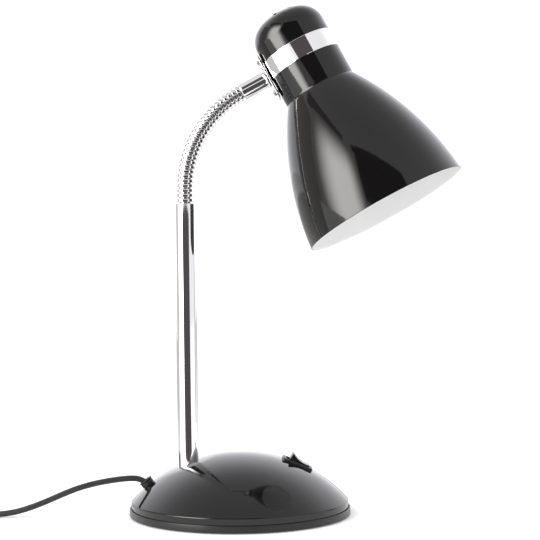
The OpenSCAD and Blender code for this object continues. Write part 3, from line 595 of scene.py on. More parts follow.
def joined(name, things):
    """Joins meshes into one object by adding their geometry up, with the finishes they use."""
    bm = bmesh.new()
    slots = []
    for thing in things:
        start = len(bm.faces)
        bm.from_mesh(thing.data)
        bm.faces.ensure_lookup_table()
        own = list(thing.data.materials) or [None]
        for face in bm.faces[start:]:
            finish = own[face.material_index]
            if finish not in slots:
                slots.append(finish)
            face.material_index = slots.index(finish)
    mesh = bpy.data.meshes.new(name)
    bm.to_mesh(mesh)
    bm.free()
    for slot in slots:
        mesh.materials.append(slot)
    for thing in things:
        bpy.data.objects.remove(thing)
    return added(name, mesh)


def cut(thing, cutters, keep_shading=True, sharp=30):
    """Cuts closed shapes out of a thing and keeps the whole shape's smooth shading."""
    before = thing.data.copy()
    for cutter in cutters:
        work = thing.modifiers.new("cut", "BOOLEAN")
        work.operation, work.solver, work.object = "DIFFERENCE", "EXACT", cutter
    after = applied(thing)
    thing.data = after
    for cutter in cutters:
        bpy.data.objects.remove(cutter)
    after.set_sharp_from_angle(angle=radians(sharp))
    if keep_shading:
        corners = [v.co for v in before.vertices]
        tree = BVHTree.FromPolygons(corners, [tuple(p.vertices) for p in before.polygons])
        own = [n.vector.copy() for n in after.corner_normals]
        whole = [n.vector.copy() for n in before.corner_normals]
        for face in after.polygons:
            for i in face.loop_indices:
                spot = after.vertices[after.loops[i].vertex_index].co
                near, flat, index, far = tree.find_nearest(spot)
                if far > 1e-6 or flat.dot(face.normal) < 0.9:
                    continue
                under = before.polygons[index]
                parts = poly_3d_calc([corners[v] for v in under.vertices], near)
                normal = sum((whole[j] * w for j, w in zip(under.loop_indices, parts)), Vector())
                if normal.length > 0.1 and normal.normalized().dot(face.normal) > 0.7:
                    own[i] = normal.normalized()
        after.normals_split_custom_set(own)
    bpy.data.meshes.remove(before)
    return thing


def stadium(l, w, r, steps=8):
    """Outline of a rounded rectangle, counter-clockwise."""
    out = []
    for sx, sy, start in ((1, 1, 0), (-1, 1, 90), (-1, -1, 180), (1, -1, 270)):
        out += arc(sx * (l / 2 - r), sy * (w / 2 - r), r, start, start + 90, steps)
    return out


def slab(name, outline, low, high, place=None, soft=0.0, soft_low=None):
    """A prism of an outline (x, y) between two heights, its rims rounded by soft mm."""
    place = place or Matrix.Identity(4)
    soft_low = soft if soft_low is None else soft_low
    quarter = [pi / 2 * i / 4 for i in range(5)]
    levels = [(low + soft_low * (1 - cos(a)), soft_low * (1 - sin(a)))
              for a in (quarter if soft_low else [0])]
    levels += [(high - soft * (1 - sin(a)), soft * (1 - cos(a)))
               for a in (quarter if soft else [0])]
    bm = bmesh.new()
    count = len(outline)
    rings = []
    for z, inward in levels:
        ring = []
        for k, (x, y) in enumerate(outline):
            ax, ay = outline[k - 1]
            bx, by = outline[(k + 1) % count]
            tx, ty = bx - ax, by - ay
            size = hypot(tx, ty) or 1
            ring.append(bm.verts.new(place @ Vector(
                (x - inward * ty / size, y + inward * tx / size, z)) * MM))
        rings.append(ring)
    skin_rows(bm, rings)
    bm.faces.new(rings[0][::-1])
    bm.faces.new(rings[-1])
    return finish_mesh(bm, name, 35)


# %% Geometry Nodes tree for copies round an axis
copies = new_tree("copies_round_an_axis", "Geometry", {
    "Geometry": "Geometry", "Copies": 8, "First Turn": 0.0, "Finish": "Material"},
    ("Geometry", "Geometry"), {
    "spots": "Points",
    "step": maths("DIVIDE", in_0=2 * pi), "angle": maths("MULTIPLY"), "more": maths("ADD"),
    "turn": "ShaderNodeCombineXYZ", "as_turn": "FunctionNodeEulerToRotation",
    **REAL_ROW}, """
    in.Copies > spots.Count; in.Copies > step.1; index.0 > angle.0; step.0 > angle.1;
    angle.0 > more.0; in.First Turn > more.1; more.0 > turn.Z; turn.0 > as_turn.Euler;
    spots.0 > set.Points; in.Geometry > set.Instance;
    as_turn.Rotation > set.Rotation""" + REAL_ROW_LINKS)

# %% [markdown]
# ## Cord and plug, dressed
# The cord's skin is a soft matt sheath. The plug's relief is a tapered core with seven ribs
# from the ring tree, and each pin has a dark insulating collar below its bright tip.

# %% Relief ribs and pins
relief_place = at_plug @ spin(-90, "X")
relief_core = lathe("relief_core", [
    (1.9, 0), (2.55, 0.2), (2.75, 0.6), (3.9, RELIEF_L + 0.5), (1.9, RELIEF_L + 0.5)],
    relief_place, turns=48)
relief_ribs = grow("relief_ribs", rings_tree,
                   [(PLUG_X, PLUG_Y + 1.3, PLUG_Z), (PLUG_X, PLUG_Y + 20.2, PLUG_Z)],
                   Rings=7, Ring_Radius=2.45 * MM, Rib_Width=1.6 * MM, Rib_Depth=1.5 * MM,
                   Rounding=0.55 * MM, End_Size=1.42, Unevenness=0.004, Seed=3,
                   Finish=black_plastic)
plug_relief = joined("plug_relief", [relief_core, relief_ribs])
PIN_AT, PIN_L = 9.3, 19
pins = []
for side in (-1, 1):
    pin_place = move(PLUG_X + side * PIN_AT, PLUG_Y + plug_end, PLUG_Z) @ spin(-90, "X")
    pins.append(lathe("pin", [
        (0, -0.8), (1.95, -0.8), (1.95, 9.8), (1.86, 10), (2, 10.15), (2, 17.2), (1.9, 17.8),
        (1.6, 18.4), (1.1, 18.8), (0.5, 18.98), (0, PIN_L)], pin_place, turns=40,
        finishes=[1] * 3 + [0] * 8))
    for finish in (nickel_brass, black_plastic):
        pins[-1].data.materials.append(finish)
plug_tips = joined("plug_tips", pins)

# %% Cord and plug on their body
cord_data.materials.append(cord_skin)
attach(cord, "base")
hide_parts("cord_free", "cord_coil", "cord_tail")
dress(plug_case, "base", ["plug_body"], black_plastic)
dress(plug_relief, "base", ["plug_body"], black_plastic)
dress(plug_tips, "base", ["plug_pins"], *plug_tips.data.materials)

# %% [markdown]
# ## The base
# A shallow tray with a thin lip carries the domed cover, with a fine dark gap between them. The
# dome is a gloss-lacquered shell: one large arc, a tight shoulder and a short straight side. It
# is spun as a closed shell with its real wall, then the holes for the pole, the switch and the
# cord bush are cut, so the parts sit in real openings.

# %% Tray
TRAY_RIM = 4.9
floor_z, rim_z = PAD_PROUD + TRAY_FLOOR, PAD_PROUD + TRAY_RIM
recess_z = PAD_PROUD + 0.6
tray = lathe("tray", [
    (0, recess_z), (66.3, recess_z), (66.3, PAD_PROUD + 0.15), (66.45, PAD_PROUD),
    *arc(BASE_R - 0.6, PAD_PROUD + 0.6, 0.6, -90, 0, 6),
    *arc(BASE_R - 0.45, rim_z - 0.45, 0.45, 0, 90, 6),
    *arc(BASE_R - TRAY_LIP + 0.12, rim_z - 0.12, 0.12, 90, 180, 3),
    (BASE_R - TRAY_LIP, floor_z), (0, floor_z)], turns=256)
dress(tray, "base", ["base_tray"], satin_black)

# %% Dome with its openings
EDGE_R = 1.2
edge_x = COVER_R - EDGE_R
edge_rise = sqrt((CROWN_R - EDGE_R) ** 2 - edge_x ** 2)
edge_lean = degrees(atan2(edge_rise, edge_x))
inner_r, inner_x = CROWN_R - COVER_WALL, COVER_R - COVER_WALL
inner_lean = degrees(atan2(sqrt(inner_r ** 2 - inner_x ** 2), inner_x))
dome = lathe("dome", [
    *arc(0, CROWN_Z, CROWN_R, 90, edge_lean, 80),
    *arc(edge_x, CROWN_Z + edge_rise, EDGE_R, edge_lean, 0, 10)[1:],
    (COVER_R, floor_z + 0.3), (COVER_R - 0.3, floor_z), (inner_x, floor_z),
    *arc(0, CROWN_Z, inner_r, inner_lean, 90, 40)], turns=256)
POLE_X, POLE_D, POLE_GAP = -34.9, 14.16, 0.15
SWITCH_X, SEAT_D, BEZEL_T, BEZEL_L, BEZEL_W = 39.1, 0.9, 2.2, 21.5, 15.0
switch_turn = asin(SWITCH_X / CROWN_R)
at_switch = (move(0, 0, CROWN_Z) @ Matrix.Rotation(switch_turn, 4, "Y")
             @ move(0, 0, CROWN_R - SEAT_D + BEZEL_T))
at_bush = move(0, 0, CROWN_Z) @ spin(-BUSH_TURN, "Y")
at_pole = move(POLE_X, 0, 0)
DIMPLE, DIMPLE_FROM, DIMPLE_TO = 0.6, 7.2, 20.0
for corner in dome.data.vertices:
    off = hypot(corner.co.x / MM - POLE_X, corner.co.y / MM)
    if off < DIMPLE_TO:
        share = min(1, (DIMPLE_TO - off) / (DIMPLE_TO - DIMPLE_FROM))
        corner.co.z -= DIMPLE * MM * share * share * (3 - 2 * share)
pole_cut = rod("pole_cut", POLE_D / 2 + POLE_GAP, 20, 80, at_pole, 96)
bush_cut = rod("bush_cut", 3.8, CROWN_R - 5, CROWN_R + 5, at_bush, 64)
seat_cut = slab("seat_cut", stadium(BEZEL_L + 0.3, BEZEL_W + 0.3, 1.65), -BEZEL_T, 8, at_switch)
body_cut = slab("body_cut", stadium(BEZEL_L - 2.2, BEZEL_W - 1.7, 0.2), -8, 8, at_switch)
cut(dome, [pole_cut, bush_cut, seat_cut, body_cut])
dress(dome, "base", ["base_cover"], gloss_black)
print("dome faces:", len(dome.data.polygons))

# %% Screw bosses under the dome
BOSS_AT, BOSS_TURN, BOSS_R, BOSS_BORE = COVER_R - 16.7, 30, 3.6, 1.25
boss_top = CROWN_Z + sqrt((CROWN_R - COVER_WALL) ** 2 - (BOSS_AT + BOSS_R) ** 2)
boss = rod("bosses", BOSS_R, floor_z, boss_top, move(BOSS_AT, 0, 0), 32, way=BOSS_BORE)
grow_from(boss, copies, Copies=3, First_Turn=radians(BOSS_TURN), Finish=black_plastic)
dress(boss, "base", (), black_plastic)

# %% [markdown]
# ## The pole
# A plain chromed tube stands in the foot socket under the dome. Its mouth is turned in around
# the first rib of the neck, which gives the soft bright edge seen at its top.

# %% Pole
POLE_WALL, POLE_TOP, BALLAST_H = 1.2, 211.1, 7
bore, top_z, ballast_top = POLE_D / 2 - POLE_WALL, PAD_PROUD + POLE_TOP, floor_z + BALLAST_H
NECK_D, RIB_W, RIB_T = 11.6, 2.1, 1.9
pole = lathe("pole_tube", [
    (bore, ballast_top), (POLE_D / 2, ballast_top),
    *arc(POLE_D / 2 - 0.6, top_z - 0.6, 0.6, 0, 90, 8),
    (NECK_D / 2 + 0.3, top_z), (NECK_D / 2 + 0.1, top_z - 0.2), (NECK_D / 2 + 0.1, top_z - 1.5),
    (bore, top_z - 1.5)], at_pole, turns=128)
dress(pole, "base", ["pole"], chrome)

# %% [markdown]
# ## The neck
# The neck is a metal hose: bright ribs on a darker core. It bends, so it is nine links. The
# first rides with the base, the last with the head and the seven between on bodies of their own.
# Each takes its three or four ribs from the ring tree along its own stretch of the bend. Under
# them a turned core ends in a ball that sits in the next link's cup, so no gap opens when the
# neck moves.

# %% Neck sizes
BEND_R, BEND_TURN, RISE, LINKS, RIBS, WAY = 72.5, 62.1, 10.3, 8, 3, 3.1
BALL, CORE, CUP, RIB_ROUND, SPIGOT_R, SPIGOT_L = 4.15, 4.1, 4.23, 0.25, 4.42, 12
bend_z = top_z + RISE
step_a = BEND_TURN / LINKS
rib_a = step_a / RIBS
chord = 2 * BEND_R * sin(radians(step_a / 2))
pitch = BEND_R * radians(BEND_TURN) / (LINKS * RIBS)


def on_bend(a):
    """The point of the neck's axis after it has turned by a degrees from upright."""
    return Vector((POLE_X + BEND_R * (1 - cos(radians(a))), 0, bend_z + BEND_R * sin(radians(a))))


def where(r, x):
    """The angle in degrees at which a circle of radius r is x from the axis."""
    return degrees(atan2(sqrt(r ** 2 - x ** 2), x))


def core_outline(last):
    """Half outline of a link's core: cup below, ball or plain end above."""
    cup = arc(0, 0, CUP, where(CUP, WAY), where(CUP, CORE), 8)
    if last:
        return cup + [(CORE, chord), (WAY, chord)]
    return cup + arc(0, chord, BALL, -where(BALL, CORE), where(BALL, WAY), 12)


# %% Neck links
for k in range(LINKS + 1):
    if k == 0:
        path = [(POLE_X, 0, bend_z - pitch * (RIBS + 0.5)), (POLE_X, 0, bend_z - pitch / 2)]
        core = lathe("core", [(WAY, top_z - 15.5), (bore - 0.08, top_z - 15.5),
                              (bore - 0.08, top_z - 1.6), (CORE, top_z - 1.6),
                              *arc(0, bend_z, BALL, -8.9, where(BALL, WAY), 12)],
                     at_pole, turns=72)
    else:
        a = (k - 1) * step_a
        path = [on_bend(a + rib_a * (0.5 + i / 8 * (RIBS - 1))) for i in range(9)]
        place = Matrix.Translation(on_bend(a)) @ spin(a + step_a / 2, "Y")
        core = lathe("core", core_outline(k == LINKS), place, turns=72)
        if k == LINKS:
            end = Matrix.Translation(on_bend(BEND_TURN)) @ spin(BEND_TURN, "Y")
            spigot = rod("spigot", SPIGOT_R, -1, SPIGOT_L, end, 72, way=WAY)
            core = joined("core", [core, spigot])
    core.data.materials.clear()
    core.data.materials.append(core_steel)
    ribs = grow("ribs", rings_tree, path, Rings=RIBS + (k == 0),
                Ring_Radius=(NECK_D - RIB_T) / 2 * MM, Rib_Width=RIB_W * MM,
                Rib_Depth=RIB_T * MM, Rounding=RIB_ROUND * MM, Unevenness=0.0005,
                Seed=20 + k, Finish=neck_chrome)
    link = joined(f"neck_{k}_ribs", [ribs, core])
    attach(link, "base" if k == 0 else "head" if k == LINKS else f"neck_{k}")
    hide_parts(f"neck_link_{k}")
print("neck pitch in mm:", round(pitch, 3), "chord:", round(chord, 3))

# %% [markdown]
# ## The head's frame
# Everything on the head is round about one slanted axis. The frame has +X towards the arm and
# +Z from the opening to the cap, so each head piece is written down upright and set in place
# by one matrix.

# %% Head frame
ARM_A, ROLL, REACH, ARM_DROP = 90 - BEND_TURN, 9.2, 47.4, 2.0
head_at = on_bend(BEND_TURN) + REACH * Vector((cos(radians(ARM_A)), 0, sin(radians(ARM_A))))
at_head = Matrix.Translation(head_at) @ spin(180 - ARM_A, "Y") @ spin(180 + ROLL, "X")
to_arm = at_head @ spin(90, "Y")
SHADE_R, SHADE_H, FLARE_R, COLLAR_R, WALL = 56.4, 91.5, 193.0, 25.03, 0.8
COLLAR_H, CREASE, BAND_H, BAND_T = 27.03, 3.0, 12.6, 0.36
open_z = ARM_DROP - COLLAR_H - SHADE_H
plate_in = COLLAR_R + 0.03 + BAND_T + 0.25
plate_out = plate_in + 1.3

# %% [markdown]
# ## The shade
# The shade is spun sheet: a flared skirt that runs through a tight crease into a straight
# collar, gloss black outside and white enamel inside, with a fine rolled rim. One closed
# outline with both faces of the sheet gives the wall its real thickness and the two finishes
# a clean border at the rim.

# %% Shade outline
mid_r, mid_z = (SHADE_R + COLLAR_R) / 2, SHADE_H / 2
run_r, run_z = COLLAR_R - SHADE_R, SHADE_H
size = hypot(run_r, run_z)
back = sqrt(FLARE_R ** 2 - (size / 2) ** 2)
flare_x, flare_z = mid_r - run_z / size * back, mid_z + run_r / size * back
fold = CREASE - 0.04
fold_x = COLLAR_R + fold
fold_z = flare_z + sqrt((FLARE_R + fold) ** 2 - (fold_x - flare_x) ** 2)
fold_a = degrees(atan2(fold_z - flare_z, fold_x - flare_x))


def flare_at(r, z):
    """Angle on the flare's circle of radius r at height z over the opening."""
    return degrees(asin((z - flare_z) / r))


rim = 0.4
outer = [*arc(flare_x, flare_z, FLARE_R, flare_at(FLARE_R, rim), fold_a, 90),
         *arc(fold_x, fold_z, CREASE, fold_a + 180, 180, 10)[1:],
         (COLLAR_R, fold_z + 1.2), (COLLAR_R, SHADE_H + COLLAR_H - 0.15),
         (COLLAR_R - 0.15, SHADE_H + COLLAR_H)]
inner = [(COLLAR_R - WALL, SHADE_H + COLLAR_H), (COLLAR_R - WALL, fold_z + 1.2),
         *arc(fold_x, fold_z, CREASE + WALL, 180, fold_a + 180, 8),
         *arc(flare_x, flare_z, FLARE_R - WALL, fold_a, flare_at(FLARE_R - WALL, rim), 60)[1:]]
rolled = arc(SHADE_R - rim, rim, rim, 180, 360, 10)[1:-1]
shade = lathe("shade_shell", outer + inner + rolled, at_head @ move(0, 0, open_z), turns=288,
              finishes=[0] * (len(outer) - 1) + [1] * (len(inner) + 4) + [0] * len(rolled))
SCREW_D, SCREW_AT = 2.5, 11.75
screw_hole = SCREW_D / 2 + 0.1


def bore_cutter(r, drop):
    """A round cutter through the head's wall, drop mm below the arm's axis."""
    return rod("bore_cutter", r, 12, 40, to_arm @ move(drop, 0, 0), 48)


cut(shade, [bore_cutter(screw_hole, SCREW_AT), bore_cutter(WAY, 0)])
dress(shade, "head", ["shade"], gloss_black, white_enamel)
print("shade faces:", len(shade.data.polygons))

# %% [markdown]
# ## The cap
# The cap closes the shade at the back: a short wall, a round shoulder and a flatter crown, with
# eight slots that let warm air out. The cutter of one slot is copied round the axis by the
# second tree, turned and set in place, and taken out of the shell in one cut.

# %% Cap with its vents
CAP_WALL, CAP_SHOULDER, CAP_CROWN = 16.3, 14.7, 36.9
cap_x = COLLAR_R - CAP_SHOULDER
cap_c = CAP_WALL - sqrt((CAP_CROWN - CAP_SHOULDER) ** 2 - cap_x ** 2)
meet = degrees(atan2(CAP_WALL - cap_c, cap_x))
cap_out = [(COLLAR_R - 0.15, 0), (COLLAR_R, 0.15), *arc(cap_x, CAP_WALL, CAP_SHOULDER, 0, meet, 24),
           *arc(0, cap_c, CAP_CROWN, meet, 90, 24)[1:]]
cap_in = [*arc(0, cap_c, CAP_CROWN - WALL, 90, meet, 24),
          *arc(cap_x, CAP_WALL, CAP_SHOULDER - WALL, meet, 0, 18)[1:], (COLLAR_R - WALL, 0)]
cap_out[-1], cap_in[0] = (0, cap_out[-1][1]), (0, cap_in[0][1])
at_band = at_head @ move(0, 0, ARM_DROP)
cap = lathe("cap_shell", cap_out + cap_in, at_band, turns=256,
            finishes=[0] * (len(cap_out) - 1) + [1] * (len(cap_in) + 1))
VENTS, VENT_L, VENT_W, VENT_AT, VENT_TURN = 8, 8.0, 2.2, 12.5, 33
vent = slab("vent_cutter", stadium(VENT_L, VENT_W, VENT_W / 2 - 0.01), CAP_WALL, CAP_WALL + 40,
            move(VENT_AT, 0, 0))
grow_from(vent, copies, at_band, Copies=VENTS, First_Turn=radians(VENT_TURN), Finish=gloss_black)
cut(cap, [vent, bore_cutter(screw_hole, -SCREW_AT)])
dress(cap, "head", ["shade_cap"], gloss_black, satin_black)
print("cap faces:", len(cap.data.polygons))

# %% [markdown]
# ## Band, plate, screws and sleeve
# A thin bright band hides the seam. A plate stands off it on two pan-head screws that go through
# to the bracket inside, and the turned sleeve grows out of the plate with a small foot and a
# fillet, and takes the end of the neck.

# %% Band
band_in = COLLAR_R + 0.03
band_out = band_in + BAND_T
band = lathe("band", [
    (band_in, -BAND_H / 2), (band_out - 0.12, -BAND_H / 2), (band_out, -BAND_H / 2 + 0.18),
    (band_out, BAND_H / 2 - 0.18), (band_out - 0.12, BAND_H / 2), (band_in, BAND_H / 2)],
    at_band, turns=256)
dress(band, "head", ["head_band"], chrome)

# %% Plate
PLATE_L, PLATE_W, PLATE_CORNER = 33, 14, 3
plate = slab("plate", stadium(PLATE_L, PLATE_W, PLATE_CORNER), plate_in, plate_out, to_arm,
             soft=0.3, soft_low=0.15)
cut(plate, [bore_cutter(screw_hole, SCREW_AT), bore_cutter(WAY, 0),
            bore_cutter(screw_hole, -SCREW_AT)], keep_shading=False)
dress(plate, "head", ["bracket_plate"], chrome)

# %% Screws with a cross recess
HEAD_D, HEAD_H, DOME_R, RECESS_L, RECESS_W, RECESS_DEEP = 4.0, 1.7, 3.0, 2.3, 0.55, 0.9
STRAP_X, STRAP_T = COLLAR_R - WALL - 1.6, 1.2
screw_top = plate_out + HEAD_H
edge_a = degrees(asin(sqrt(DOME_R ** 2 - (HEAD_D / 2) ** 2) / DOME_R))
for name, side in (("bracket_screw_low", 1), ("bracket_screw_high", -1)):
    at_screw = to_arm @ move(side * SCREW_AT, 0, 0)
    screw = lathe(name.replace("bracket_", "") + "_head", [
        (0, STRAP_X - STRAP_T), (SCREW_D / 2 - 0.2, STRAP_X - STRAP_T),
        (SCREW_D / 2, STRAP_X - STRAP_T + 0.3), (SCREW_D / 2, plate_out + 0.02),
        (HEAD_D / 2 - 0.1, plate_out + 0.02), (HEAD_D / 2, plate_out + 0.12),
        *arc(0, screw_top - DOME_R, DOME_R, edge_a, 90, 10)[:-1], (0, screw_top)],
        at_screw, turns=64)
    cut(screw, [slab("recess", stadium(RECESS_L, RECESS_W, 0.1, 2), screw_top - RECESS_DEEP,
                     screw_top + 1, at_screw @ spin(a, "Z")) for a in (20, 110)])
    dress(screw, "head", [name], zinc_steel)

# %% Sleeve
SLEEVE_D, FOOT_D, FILLET, SLEEVE_BORE = 11.8, 14.0, 2.2, 4.5
sleeve_r = SLEEVE_D / 2
fillet_x = sleeve_r + FILLET
foot_a = 360 - degrees(atan2(sqrt(FILLET ** 2 - (fillet_x - FOOT_D / 2) ** 2),
                             FOOT_D / 2 - fillet_x))
sleeve = lathe("sleeve", [
    (SLEEVE_BORE, plate_out), (FOOT_D / 2 - 0.12, plate_out), (FOOT_D / 2, plate_out + 0.12),
    *arc(fillet_x, plate_out + 3, FILLET, foot_a, 180, 12),
    *arc(sleeve_r - 1.2, REACH - 1.2, 1.2, 0, 80, 8),
    (SLEEVE_BORE + 0.1, REACH), (SLEEVE_BORE, REACH - 0.1)], to_arm, turns=128)
dress(sleeve, "head", ["arm_sleeve"], chrome)

# %% [markdown]
# ## The lamp holder
# Inside the shade hangs a moulded holder on a threaded nipple. Its metal sleeve has the rolled
# round thread that a lamp screws into. The thread is a true helix: the wall's radius follows a
# sine of height and turn together, on both faces of the sheet.

# %% Holder body
HOLDER_R, SKIRT, SHOULDER_L, NIPPLE_R, STRAP_Z = 19, 34, 8, 5, 17.5
THREAD_R, THREAD_T, THREAD_L, PITCH = 13.3, 0.4, 26, 3.62
holder_top = STRAP_Z - STRAP_T / 2 - 1
holder_low = holder_top - SHOULDER_L - SKIRT
socket_floor = holder_low + THREAD_L + 0.5 + 1.2
holder = lathe("holder_body", [
    (THREAD_R + THREAD_T, holder_low + 0.3), (THREAD_R + THREAD_T + 0.3, holder_low),
    (HOLDER_R - 1, holder_low), *arc(HOLDER_R - 1, holder_low + 1, 1, -80, 0, 6),
    (HOLDER_R, holder_low + 9), (HOLDER_R - 0.5, holder_low + 9.6),
    (HOLDER_R - 0.5, holder_low + 11.4), (HOLDER_R, holder_low + 12),
    *arc(HOLDER_R - 1.5, holder_top - SHOULDER_L - 1, 1.5, 0, 50, 6),
    (NIPPLE_R + 5.6, holder_top - 0.9), (NIPPLE_R + 4.9, holder_top - 0.4),
    (NIPPLE_R + 4.5, STRAP_Z - STRAP_T / 2), (NIPPLE_R + 0.05, STRAP_Z - STRAP_T / 2),
    (NIPPLE_R + 0.05, holder_top - 5), (0, holder_top - 5), (0, socket_floor),
    (THREAD_R + THREAD_T, socket_floor)], at_head, turns=128)
dress(holder, "head", ["lamp_holder"], holder_plastic)

# %% Rolled thread
AROUND, ROWS, WAVE, SHEET = 96, 120, 0.16, 0.2
bm = bmesh.new()


def on_thread(r, j, k):
    """A corner of the rolled sheet: row j of its height, k of its turn."""
    z = holder_low + 1.5 + (THREAD_L - 1.5) * j / ROWS
    a = 2 * pi * k / AROUND
    r += min(1, min(j, ROWS - j) / 5) * WAVE * sin(2 * pi * z / PITCH - a)
    return bm.verts.new(at_head @ Vector((r * cos(a), r * sin(a), z)) * MM)


outside, inside = ([[on_thread(r, j, k) for k in range(AROUND)] for j in range(ROWS + 1)]
                   for r in (THREAD_R + WAVE, THREAD_R + WAVE - SHEET))
skin_rows(bm, outside + inside[::-1] + outside[:1])
thread = finish_mesh(bm, "rolled_thread", 50)
dress(thread, "head", ["holder_thread"], nickel_brass)

# %% [markdown]
# ## The switch
# A moulded bezel is let into the dome, flush but for its soft rim, with a rocker in its slot. The
# rocker's hollow top is one arc. It is cut as an outline, given its width, and turned about its
# own pin to its resting tilt.

# %% Bezel and case
CASE_DEEP, ROCKER_W, ROCKER_HALF, ROCKER_RISE, PIVOT_DEEP, REST_TILT = 12, 11.0, 7.0, 5.07, 2, 16
body_l, body_w = BEZEL_L - 2.5, BEZEL_W - 2
slot_l, slot_w = body_l - 2.2, ROCKER_W + 0.4
bezel = slab("bezel", stadium(BEZEL_L, BEZEL_W, 1.5), -BEZEL_T, 0, at_switch, soft=0.7,
             soft_low=0)
bezel_slot = slab("slot", stadium(slot_l, slot_w, 0.4), -BEZEL_T - 1, 2, at_switch)
cut(bezel, [bezel_slot], keep_shading=False, sharp=40)
case_low = -BEZEL_T - CASE_DEEP
case = slab("case", stadium(body_l, body_w, 0.4), case_low, -BEZEL_T + 0.2, at_switch,
            soft=0, soft_low=0.3)
case_slot = slab("slot", stadium(slot_l, slot_w, 0.4), case_low + 2.5, 2, at_switch)
cut(case, [case_slot], keep_shading=False, sharp=40)
housing = joined("switch_case", [bezel, case])
dress(housing, "base", ["switch_housing"], black_plastic)

# %% Rocker
DISH_UP = 16
dish_r = hypot(DISH_UP, ROCKER_HALF - 0.5)
dish_a = degrees(asin((ROCKER_HALF - 0.5) / dish_r))
at_rocker = at_switch @ move(0, 0, -PIVOT_DEEP) @ spin(REST_TILT, "Y") @ spin(90, "X")
rocker_outline = [(-ROCKER_HALF, ROCKER_RISE), (-ROCKER_HALF + 0.6, -1.2), (-2.2, -3.4),
                  (2.2, -3.4), (ROCKER_HALF - 0.6, -1.2), (ROCKER_HALF, ROCKER_RISE),
                  *arc(0, ROCKER_RISE + DISH_UP, dish_r, 270 + dish_a, 270 - dish_a, 20)]
rocker = slab("rocker_cap", rocker_outline, -ROCKER_W / 2, ROCKER_W / 2, at_rocker, soft=0.35)
pin = rod("rocker_pin", 1.2, -slot_w / 2 - 0.7, slot_w / 2 + 0.7, at_rocker, 32)
rocker = joined("rocker_key", [rocker, pin])
dress(rocker, "rocker", ["switch_rocker"], rocker_plastic)

# %% [markdown]
# ## The cord bush
# The cord leaves through a moulded bush: a collar that sits on the dome, a waist, and a flared
# mouth with a soft rim, so the cord can turn without a kink.

# %% Bush
BUSH_D, BUSH_NECK, BUSH_MOUTH, BUSH_IN = 9.6, 3.7, 3.6, 5.1
cord_r, foot, mouth = CORD_D / 2 + 0.1, CROWN_R, CROWN_R + BUSH_OUT
bush = lathe("bush", [
    (cord_r, foot - BUSH_IN), (BUSH_NECK + 1.3, foot - BUSH_IN),
    (BUSH_NECK + 1.3, foot - COVER_WALL - 0.7), (BUSH_NECK, foot - COVER_WALL - 0.2),
    (BUSH_NECK, foot + 0.3), (BUSH_D / 2 - 0.5, foot + 0.3),
    *arc(BUSH_D / 2 - 0.6, foot + 0.9, 0.3, 0, 80, 4),
    (BUSH_NECK + 0.75, foot + 1.6), (BUSH_NECK + 0.6, mouth - 1.5),
    *arc(BUSH_D / 2 - 0.45, mouth - 0.6, 0.45, -60, 80, 8),
    (BUSH_MOUTH + 0.25, mouth), (BUSH_MOUTH, mouth - 0.12),
    *arc(BUSH_MOUTH + 2.6, mouth - 3.4, 4.1, 142, 180, 6), (cord_r, foot - LEAD_IN)],
    at_bush, turns=96)
dress(bush, "base", ["cord_bush"], black_plastic)

# %% [markdown]
# ## Inner parts that keep their CAD shape
# Pad, ballast, sockets, screws, bracket, nipple and contacts already have their true shape in
# the frame, so they only get a finish of the right metal or plastic.

# %% Finishes on CAD nodes
for finish, nodes in {
        foam: ["base_pad"], ballast_steel: ["ballast"],
        zinc_steel: ["cover_screws", "pole_socket", "socket_screws", "holder_bracket"],
        nickel_brass: ["switch_terminals", "cord_clip"],
        brass: ["holder_nipple", "holder_contact"], cord_skin: ["cord_lead"]}.items():
    for node in nodes:
        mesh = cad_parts[node].data
        mesh.materials.clear()
        mesh.materials.append(finish)

# %% [markdown]
# ## The room around the lamp
# The lamp stands on a seamless white ground. Its mirror-like skins show what stands around it:
# a wide soft light at the left, grey walls, and something dark where the camera stands. Those
# are cards that the camera never sees. Flat cards just over the ground do the same for the
# floor, and fade out so that no edge is mirrored. The bright room behind is the world's own
# colour, and the ground keeps only the faint shadow under the base.

# %% Ground
GROUND_GLOW, ROOM_GLOW, KEY_WATTS = 0.16, 1.05, 28


def backdrop(name, corners, **settings):
    """A stage card from four corners in metres, with its shader's settings."""
    mesh = bpy.data.meshes.new(name)
    mesh.from_pydata(corners, [], [(0, 1, 2, 3)])
    m = bpy.data.materials.new(name)
    m.use_nodes = True
    mesh.materials.append(m)
    card = added(name, mesh)
    skin = m.node_tree.nodes["Principled BSDF"]
    for key, value in {"Roughness": 1, **settings}.items():
        skin.inputs[key.replace("_", " ")].default_value = value
    return card, m.node_tree, {"skin": skin}


gt, n = backdrop("ground", [(-6, -6, 0), (6, -6, 0), (6, 6, 0), (-6, 6, 0)],
                 Base_Color=(0.9, 0.9, 0.9, 1), Emission_Color=(1, 1, 1, 1))[1:]
n.update(nodes_in(gt, {"by": "LightPath", "seen": maths("MAXIMUM"),
                       "seen_too": maths("MAXIMUM"), "lift": maths("MULTIPLY", in_1=GROUND_GLOW)}))
wire(gt, n, """
    by.Is Camera Ray > seen.0; by.Is Glossy Ray > seen.1; seen.0 > seen_too.0;
    by.Is Transmission Ray > seen_too.1; seen_too.0 > lift.0; lift.0 > skin.Emission Strength""")

# %% Cards that only reflections see
DARK, ON_FLOOR = (0.08, 0.071, 0.074), 0.0005


